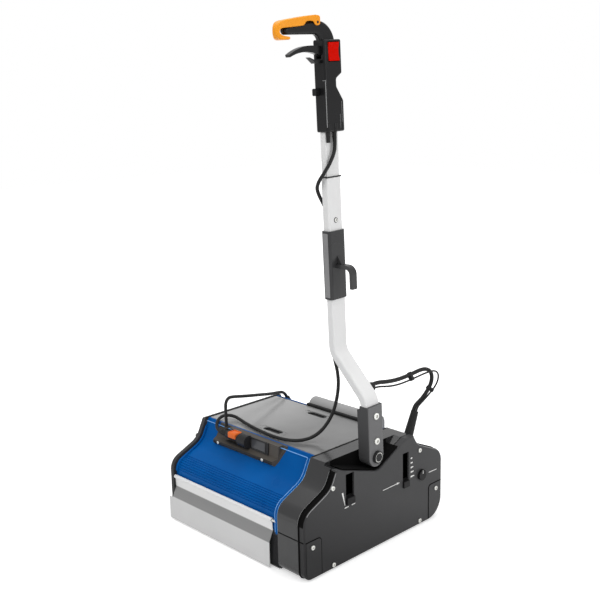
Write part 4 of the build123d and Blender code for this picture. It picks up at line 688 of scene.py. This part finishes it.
relief_profile = [(-138, 4.3), (-134.5, 4.6)]
for ring in range(5):
    ring_x = -134.5 + 4.2 * ring
    ring_radius = 4.8 + 0.5 * ring
    relief_profile += [(ring_x + 0.6, ring_radius + 0.6), (ring_x + 2.6, ring_radius + 0.8),
                       (ring_x + 3.2, ring_radius - 0.1), (ring_x + 4.0, ring_radius - 0.1)]
relief_profile += [(-112.6, 7.6), (-111.5, 7.6)]
plug_relief = turned(relief_profile)
plug_relief.data.transform(shift(0, PLUG_Y, PLUG_Z))
fit("plug_strain_relief", plug_relief, black_pvc)

# Connector panel: a framed window with an upright bar beside it

WALL_FOOT = 190
WALL_LEAN = 0.074


def lean_on_wall(piece):
    """Lean a piece back with the connector's front wall, from its foot."""
    for vertex in piece.data.vertices:
        vertex.co.y += (vertex.co.z - WALL_FOOT * MM) * WALL_LEAN
    return piece


window = lean_on_wall(block((-37, -122.5, 191.6), (10, -121.3, 215.6), 0.4, 2))
dish(window, lambda middle, normal: normal.y < -0.9, 1.2, 0, 0.3, 0)
fit("connector_window", window, smoke_grey)

surround = lean_on_wall(block((-41.5, -123.4, 190.2), (11.5, -121, 217)))
open_through(surround, lambda middle, normal: abs(normal.y) > 0.9, 3.2)
fit("connector_window_frame", surround, black_nylon)

bar = lean_on_wall(block((13.5, -124.4, 190.6), (19.5, -120.6, 216.6), 0.8, 3))
fit("connector_bar", close_up(bar), black_nylon)

# Dark trim along the connector's lip
lip_trim = block((-156.5, -132.7, 177.3), (39.5, -131.6, 183.7), 0.4, 2)
fit("connector_lip_trim", close_up(lip_trim), black_nylon)

# Black lining of the bay behind and under the plug
bay_lining = blocks(((-114, -112.6, 191), (-41, -111.4, 216), 0.3, 2),
                    ((-114, -131, 190), (-41, -112, 190.8), 0.3, 2))
fit("connector_bay_lining", bay_lining, black_nylon)

# Paint marks beside the levers and the dial: plain wedges, dashes, an arrow and a five-step scale


def paint_mark(low_left, low_right, high_left, high_right):
    """A four-cornered patch of paint on the drive cover, from its corners in millimetres along Y and Z."""
    mark = block((PANEL_X - 0.2, -1, -1), (PANEL_X + 0.25, 1, 1))
    for vertex in mark.data.vertices:
        if vertex.co.z < 0:
            corner = low_left if vertex.co.y < 0 else low_right
        else:
            corner = high_left if vertex.co.y < 0 else high_right
        vertex.co.yz = Vector(corner) * MM
    return mark


marks = [
    paint_mark((-96.2, 129), (-95, 129), (-104.5, 158), (-100, 158)),
    paint_mark((-96.4, 122), (-84.6, 122.6), (-96.4, 124), (-84.6, 124.4)),
    paint_mark((-75.7, 122.8), (-65.3, 123.2), (-75.7, 124.6), (-65.3, 124.9)),
    paint_mark((21, 122.6), (66, 123.2), (21, 124.0), (66, 124.7)),
    paint_mark((66, 121.4), (75, 123.9), (66, 126.6), (75, 124.3)),
    paint_mark((175, 115.6), (203, 115.2), (175, 117.2), (203, 116.6)),
]
SCALE_Y = 112.5
for step in range(5):
    step_z = 168 - 10.6 * step
    width = 5.2 + 1.6 * step
    marks.append(paint_mark((SCALE_Y, step_z - 1.9), (SCALE_Y + width, step_z - 1.1),
                            (SCALE_Y, step_z + 1.9), (SCALE_Y + width, step_z + 1.1)))
fit("panel_marks", close_up(joined(marks)), white_paint)

pointer = block((223.6, 147.2, 123), (224.4, 148.8, 131), 0.3, 2)
fit("dial_pointer", close_up(pointer), white_paint, "dial_knob")

# Beads along the side outline: the dark edge between housing and cover, and the blue covers' moulded rims


def outline_walk(start, heading, moves):
    """Points along a line of straights (length, 0) and arcs (radius, turn), in millimetres and degrees."""
    place = Vector(start)
    way = math.radians(heading)
    points = [place]
    for size, turn in moves:
        if not turn:
            place = place + Vector((math.cos(way), math.sin(way))) * size
            points.append(place)
            continue
        steps = max(2, round(abs(turn) / 8))
        step = math.radians(turn) / steps
        for _ in range(steps):
            chord = 2 * size * math.sin(abs(step) / 2)
            place = place + Vector((math.cos(way + step / 2), math.sin(way + step / 2))) * chord
            way += step
            points.append(place)
    return points


def beads(kind, x, outlines, radius, material):
    """Round beads through points of the side outline, one for each end of the machine."""
    for end, points in outlines.items():
        name = end + "_" + kind
        curve = draw_curve(name, "POLY", [(x * MM, y * MM, z * MM) for y, z in points])
        fit(name, as_tube(curve, radius, 2), material)


# Each end of the machine: its side along Y, its depth, and the ramp between its shoulder and its brow
ENDS = {"front": (-1, 211, 45), "rear": (1, 221, 56)}
SHOULDER_RADIUS, SHOULDER_TURN = 34, 66
BROW_RADIUS, BROW_TURN = 45, 40
# Where the shoulders of the covers' rims and of the edge bands spring, front and rear
RIM_SPRINGS = (118, 133.5)
BAND_SPRINGS = (118.4, 133.4)


def shoulder_lines(inset, springs, lasts, foot=None):
    """Both ends' outlines drawn in by an inset: up from a foot, if there is one, and over shoulder and brow."""
    outlines = {}
    for (end, (side, depth, ramp)), spring, last in zip(ENDS.items(), springs, lasts):
        upright = [(spring - foot, 0)] if foot else []
        outlines[end] = outline_walk((side * (depth - inset), foot or spring), 90, upright + [
            (SHOULDER_RADIUS - inset, side * SHOULDER_TURN), (ramp, 0),
            (BROW_RADIUS + inset, -side * BROW_TURN), (last, 0)])
    return outlines


beads("edge_seal", 202, {
    "front": outline_walk((-193, 3.4), 180, [(18, -90), (97, 0), (34, -66), (45, 0), (45, 40), (22, 0)]),
    "rear": outline_walk((176, 3.4), 0, [(45, 90), (85, 0), (34, 66), (56, 0), (45, -40), (7, 0)]),
}, 2.0, shade_and_joint_black)
beads("cover_right_rim", 135.2, shoulder_lines(4.8, RIM_SPRINGS, (28, 4), 79), 4.2, blue_polyethylene)
beads("cover_left_rim", -202.4, shoulder_lines(7.6, RIM_SPRINGS, (16, 4)), 2.8, blue_polyethylene)
# Two painted highlight lines along each right rim, and one along the front cover's top
INNER_LINE_X, OUTER_LINE_X, LINE_RADIUS = 131.2, 138.2, 0.9
rim_lines = shoulder_lines(2.1, RIM_SPRINGS, (28, 4), 82)
beads("rim_inner_line", INNER_LINE_X, rim_lines, LINE_RADIUS, highlight_blue)
beads("rim_outer_line", OUTER_LINE_X, rim_lines, LINE_RADIUS, highlight_blue)
top_y, top_z = rim_lines["front"][-1]
top_line = block((-200, top_y - LINE_RADIUS, top_z - LINE_RADIUS),
                 (INNER_LINE_X, top_y + LINE_RADIUS, top_z + LINE_RADIUS), 0.7, 3)
fit("front_rim_top_line", close_up(top_line), highlight_blue)


def edge_band(name, points):
    """A black band of painted shade on the drive cover's edge, laid along points of the side outline."""
    curve = draw_curve(name, "POLY", [(y * MM, z * MM, 0) for y, z in points], "2D")
    curve.data.extrude = 4.9 * MM
    band = as_mesh(curve)
    # The curve lies flat: its own Z is across the machine
    band.data.transform(Matrix(((0, 0, 1, 209.4 * MM), (1, 0, 0, 0), (0, 1, 0, 0), (0, 0, 0, 1))))
    fit(name, thicken(band, 1.2), shade_and_joint_black)


for end, points in shoulder_lines(0, BAND_SPRINGS, (20, 5)).items():
    edge_band(end + "_edge_shade_band", points)
# A painted highlight: a fine bright line on the housing's edge beside each band
beads("housing_edge", 199.2, shoulder_lines(0.5, BAND_SPRINGS, (18, 3)), 0.8, highlight_nylon)
# Another painted highlight on the cover's edge on the band's other side, from where the shoulder turns to the light
beads("cover_edge_highlight", 216.6, {
    "front": outline_walk((-202.2, 139.5), 50, [(32.9, -26), (45, 0), (46.1, 40), (18, 0)]),
    "rear": outline_walk((212.2, 154.5), 130, [(32.9, 26), (56, 0), (46.1, -40), (3, 0)]),
}, 0.9, highlight_nylon)
# Dark joints round the corner plates
beads("plate_joint", 218.2, {
    "front": outline_walk((-165, 6), 90, [(72, 0), (8, 90), (35, 0)]),
    "rear": outline_walk((175, 6), 90, [(72, 0), (8, -90), (35, 0)]),
}, 1.1, shade_and_joint_black)

# Seals beside the lid, on the top of the end plate and of the housing
seals = blocks(((-209.6, -112, 216.4), (-205.4, 118, 218.6), 0.9, 3),
               ((140.3, -112, 216.4), (143.4, 118, 218.0), 0.7, 3))
fit("lid_side_seals", seals, black_rubber)

# Painted shade in the pocket that the pole swings in: black sheets on its floor and its V


def pocket_shade_sheets():
    """Thin black sheets of painted shade on the pocket's floor and along its V, drawn from the V's outline."""
    vee = outline_walk((-100, 208.2), -17.5, [(99.6, 0), (29.6, 43.5), (62, 0)])
    high = 216.6
    lining = side_face(182.3, vee + [Vector((vee[-1].x, high)), Vector((vee[0].x, high))])
    hold_none("EDGE")
    for edge in lining.data.edges:
        edge.select = max(edge.vertices) < len(vee)
    enter("EDIT")
    pull(33, 0, 0)
    enter("OBJECT")
    return thicken(lining, 0.5)


fit("pocket_shade_sheets", pocket_shade_sheets(), shade_and_joint_black)

# Seam where each corner plate's moulding runs on round the end of the housing
seams = blocks(((141, -211.3, 84.8), (215, -210.2, 87.4), 0.3, 2), ((141, 220.2, 84.8), (215, 221.3, 87.4), 0.3, 2))
fit("housing_end_seams", seams, shade_and_joint_black)

# Rubber strip along the foot of the hood, black as painted shade in the gap between hood and lid
strip = block((-100, 109, 213), (105, 117.2, 222), 1.6, 3)
fit("hood_foot_strip", close_up(strip), black_rubber)

# The lid's slots: their places along Y, their middle and reach along X, and what the inserts leave open
LID_SLOTS = (-60, 78)
SLOT_X, SLOT_HALF = -33, 33
OPEN_HALF, OPEN_RADIUS = 28, 9

# Finger cups under the slots
cups = []
for slot_y in LID_SLOTS:
    cup = drum(10.5, 3, SLOT_X, slot_y, 212.2)
    for vertex in cup.data.vertices:
        vertex.co.x += math.copysign(SLOT_HALF * MM, vertex.co.x - SLOT_X * MM)
    cups.append(dish(cup, lambda middle, normal: normal.z > 0.9, 1.6, 0, 0, -1.8))
fit("lid_finger_cups", joined(cups), black_nylon, "lid")

# Inserts that close the two ends of each lid slot, level with the sheet
inserts = []
for slot_y in LID_SLOTS:
    for side in (-1, 1):
        end_x = SLOT_X + side * SLOT_HALF
        insert = drum(8.9, 2.8, end_x, slot_y, 215.5)
        for vertex in insert.data.vertices:
            outwards = side * (vertex.co.x - end_x * MM)
            aside = vertex.co.y / MM - slot_y
            if outwards < 1e-6:
                # The inner end is hollow, so that the slot left open is round-ended
                hollow = math.sqrt(OPEN_RADIUS ** 2 - aside ** 2)
                vertex.co.x = (SLOT_X + side * (OPEN_HALF - OPEN_RADIUS + hollow)) * MM
        grab(insert, lambda middle, normal: normal.z > 0.9)
        bpy.ops.mesh.bevel(offset=0.3 * MM, segments=2, affect="EDGES")
        inserts.append(close_up(insert))
fit("lid_slot_inserts", joined(inserts), smoked_polycarbonate, "lid")

# Collar round the mouth of the lower tube
collar = block((-9.4, -20.4, -1.3), (9.4, 20.4, 1.3))
open_through(collar, lambda middle, normal: abs(normal.z) > 0.9, 2.1)
collar.data.transform(pole_frame(117, 0, 577.4))
fit("tube_collar", collar, black_nylon, "handle")

# Grip lever: a channel over the grip that runs out in a rounded nose and hooks back under it


def grip_lever():
    """The lever from its side outline, pulled to its width, rounded in plan at the nose and hollowed."""
    outline = [(-25, 880), (-25, 884), (-28, 886.5), (-36, 887.6), (-45, 887), (-66, 884.9), (-90, 882),
               (-114, 878.7), (-121, 877.2), (-125, 875.8), (-129, 873.4), (-133, 869), (-135.4, 863.5),
               (-136, 858), (-135.4, 852.6), (-133, 848), (-129, 844.6), (-125, 843.3), (-121, 843), (-114, 843),
               (-109, 843), (-106, 844), (-105, 846.2), (-106.5, 848.4), (-114, 849.4), (-121, 850.6),
               (-125, 852.2), (-128.2, 855), (-129, 858), (-128.2, 861), (-125, 863.4), (-121, 864.1),
               (-114, 864.7), (-100, 865.6), (-77, 867.4), (-70, 868.2), (-66, 870.5), (-63.5, 874), (-60, 875.8),
               (-50, 876.6), (-45, 876), (-41.5, 873.6), (-40, 870.5), (-37, 868.6), (-33, 868), (-29, 868.6),
               (-26, 870.5), (-25, 874)]
    half, nose_from, nose_reach = 11.5, -112, 26
    lever = side_face(-half, outline)
    grab(lever, lambda middle, normal: True)
    pull(2 * half, 0, 0)
    # Cuts across the nose, so that it can be narrowed evenly
    for cut in (-114, -121, -125, -128.2, -129, -133, -135.4):
        bpy.ops.mesh.select_all(action="SELECT")
        bpy.ops.mesh.bisect(plane_co=(0, cut * MM, 0), plane_no=(0, 1, 0))
    enter("OBJECT")
    for vertex in lever.data.vertices:
        into_nose = max(0, (nose_from - vertex.co.y / MM) / nose_reach)
        vertex.co.x *= math.sqrt(max(0.1, 1 - into_nose ** 2))
    close_up(lever)
    rounds = lever.modifiers.new("rounds", "BEVEL")
    rounds.width = 1.8 * MM
    rounds.segments = 3
    rounds.limit_method = "ANGLE"
    rounds.angle_limit = math.radians(50)
    bpy.ops.object.modifier_apply(modifier=rounds.name)
    # The grip lies in a channel from the nose to the hinge
    channel = block((-9.4, -117, 856), (9.4, -20, 879.5))
    for vertex in channel.data.vertices:
        if vertex.co.z > 870 * MM and vertex.co.y < -100 * MM:
            vertex.co.z = 874 * MM
    take(lever)
    hollow = lever.modifiers.new("channel", "BOOLEAN")
    hollow.object = channel
    bpy.ops.object.modifier_apply(modifier=hollow.name)
    bpy.data.objects.remove(channel)
    lever.data.transform(pole_frame(120.5, 0, 0))
    return close_up(lever)


hooked_lever = grip_lever()
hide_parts("safety_lever")
fit("hooked_grip_lever", hooked_lever, orange_polypropylene, "safety_lever")

# Painted highlights along edges and ribs of the head, and the bosses that its cable glands come out of
ribs = blocks(((134.7, -23.15, 676), (136.15, -21.7, 764), 0.5, 2),
              ((128, -23.15, 764.5), (136.15, -21, 766), 0.5, 2),
              ((135.6, 19.4, 684), (136.2, 20.2, 724), 0.2, 2), ((135.6, 14.4, 672), (136.2, 15.1, 700), 0.2, 2))
fit("head_ribs", leaned(ribs), highlight_nylon, "pole_top")
bosses = blocks(*[((131, across - 4.6, 666.4), (137.4, across + 4.6, 684), 2.2, 4) for across in (-17, 1)])
fit("gland_bosses", leaned(bosses), head_nylon, "pole_top")

# Plate on the front of the pole's sleeve, pale grey as a painted reflection, and the washer under its lock screw
front_plate = leaned(block((109.8, -24, 331), (124.2, -21, 465), 1.4, 3))
fit("sleeve_front_plate", close_up(front_plate), reflection_nylon, "handle")
lock_washer = turned([(125.8, 5.4), (126.4, 5.4), (126.7, 5.0)])
lock_washer.data.transform(pole_frame(0, 0, LOCK_HEIGHT))
fit("lock_washer", lock_washer, black_nylon, "handle")

# Clips that hold the thin wire to the hose


def wire_clip(on_hose, on_wire, along):
    """A small moulded clip round the hose and the wire, with its latch."""
    along = Vector(along).normalized()
    span = Vector(on_wire) - Vector(on_hose)
    reach = span.length
    across = span.normalized()
    across = (across - along * across.dot(along)).normalized()
    clip = block((-4, -6, -5.6), (4, reach + 3.4, 5.6), 2.2, 3)
    latch = block((-2.2, reach * 0.4, 4.6), (2.2, reach * 0.4 + 4.4, 7.6), 0.7, 2)
    turn = Matrix((along, across, along.cross(across))).transposed().to_4x4()
    whole = close_up(joined([clip, latch]))
    whole.data.transform(shift(*on_hose) @ turn)
    return whole


rear_clips = joined([wire_clip((197.7, 133.4, 348.3), (202.9, 133.3, 339), (0.1, 0.98, 0.13)),
                     wire_clip((197.5, 198.9, 302.5), (203.9, 200.9, 296.5), (-0.15, -0.65, -0.74))])
rear_clips.name = "rear_wire_clips"
coat(rear_clips, black_nylon)
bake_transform(rear_clips)

# Brush rollers: splayed tufts of filament on a backing sleeve

BRUSH_Y, BRUSH_Z = 134, 58
ROWS, FIRST_ROW_X, ROW_PITCH, ROW_TWIST = 48, -197, 7, math.radians(6.2)
SPOKES, ROOT_RADIUS = 28, 23


def tuft(count, root, tip, length, splay):
    """A tuft of three-sided filaments up from the origin, each splayed and turned to its place round Z."""
    filaments = []
    for index in range(count):
        clear_hands()
        bpy.ops.mesh.primitive_cone_add(vertices=3, radius1=root * MM, radius2=tip * MM, depth=length * MM,
                                        location=(0, 0, length / 2 * MM))
        filament = settle()
        filament.data.transform(Matrix.Rotation(index * math.tau / count, 4, "Z") @ splay)
        filaments.append(filament)
    return joined(filaments)


def brush(name, middle_y, body, node, hand):
    """A roller brush of nylon tufts in rows that wind along it."""
    model = tuft(6, 1.1, 0.8, 33.6, Matrix.Rotation(math.radians(4.5), 4, "Y") @ shift(1.1, 0, 0))
    places = []
    for row in range(ROWS):
        for spoke in range(SPOKES):
            turn = hand * (spoke * math.tau / SPOKES + row * ROW_TWIST)
            places.append(shift(FIRST_ROW_X + ROW_PITCH * row, middle_y, BRUSH_Z)
                          @ Matrix.Rotation(turn, 4, "X") @ shift(0, 0, ROOT_RADIUS))
    tufts = copies(model, places)
    sleeve = turned([(-202, 23.4), (-201, 25), (-200, 25.2), (134, 25.2), (135, 25), (136, 23.4)], 40)
    sleeve.data.transform(shift(0, middle_y, BRUSH_Z))
    whole = joined([sleeve, tufts])
    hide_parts(node)
    fit(name, whole, black_filament, body)


brush("front_bristle_roller", -BRUSH_Y, "front_brush", "front_brush_bristles", 1)
brush("rear_bristle_roller", BRUSH_Y, "rear_brush", "rear_brush_bristles", -1)


def end_fringe(name, middle_y):
    """A short fringe of bristles in a holder on a cover's lower edge, down to the floor."""
    model = tuft(5, 1.2, 0.7, 73, shift(1.0, 0, 0) @ Matrix.Rotation(math.radians(1.6), 4, "Y"))
    hang = Matrix.Rotation(math.pi, 4, "X")
    tufts = copies(model, [shift(101 + 3.3 * column, middle_y + 3.4 * row, 75) @ hang
                           for column in range(12) for row in (-1, 0, 1)])
    holder = block((98.5, middle_y - 5.4, 71), (139.4, middle_y + 5.4, 80), 1.4, 3)
    fit(name, joined([close_up(holder), tufts]), black_filament)


end_fringe("front_end_fringe", -199.6)
end_fringe("rear_end_fringe", 209.6)

# Stage: a white floor that keeps the shadow, and a white surround


def looked_at(owner):
    """1 where a thing is seen, straight, mirrored or through a sheet, and 0 for the light it throws."""
    ray = add_node(owner, "ShaderNodeLightPath", {})
    mirrored = add_node(owner, "ShaderNodeMath", {"operation": "MAXIMUM"},
                        {0: ray.outputs["Is Camera Ray"], 1: ray.outputs["Is Glossy Ray"]})
    either = add_node(owner, "ShaderNodeMath", {"operation": "MAXIMUM"},
                      {0: mirrored.outputs[0], 1: ray.outputs["Is Transmission Ray"]})
    return either.outputs[0]


def white_floor():
    """Floor paint that the camera sees as near white, shaded only by the object."""
    material, place = new_material("white_floor_paint")
    # Near the object the floor glows a little, and keeps its shadow; past 1.5 m it is plain white
    away = add_node(material, "ShaderNodeVectorMath", {"operation": "LENGTH"}, {0: place})
    glow_level = add_node(material, "ShaderNodeMapRange",
                          {"From Min": 0.5, "From Max": 1.5, "To Min": 0.46, "To Max": 1.0},
                          {"Value": away.outputs["Value"]})
    strength = add_node(material, "ShaderNodeMath", {"operation": "MULTIPLY"},
                        {0: looked_at(material), 1: glow_level.outputs["Result"]})
    paint = add_node(material, "ShaderNodeBsdfDiffuse", {"Color": colour("#F4F4F4")})
    glow = add_node(material, "ShaderNodeEmission", {}, {"Strength": strength.outputs[0]})
    both = add_node(material, "ShaderNodeAddShader", {}, {0: paint.outputs[0], 1: glow.outputs[0]})
    add_node(material, "ShaderNodeOutputMaterial", {}, {"Surface": both.outputs[0]})
    return material


clear_hands()
bpy.ops.mesh.primitive_plane_add(size=16)
floor = bpy.context.object
floor.name = "floor"
coat(floor, white_floor())

world = bpy.data.worlds.new("white_surround")
world.use_nodes = True
world.node_tree.nodes.clear()
level = add_node(world, "ShaderNodeMapRange", {"To Min": 0.40, "To Max": 1.0}, {"Value": looked_at(world)})
sky = add_node(world, "ShaderNodeBackground", {"Color": (1, 1, 1, 1)}, {"Strength": level.outputs["Result"]})
add_node(world, "ShaderNodeOutputWorld", {}, {"Surface": sky.outputs[0]})
scene.world = world
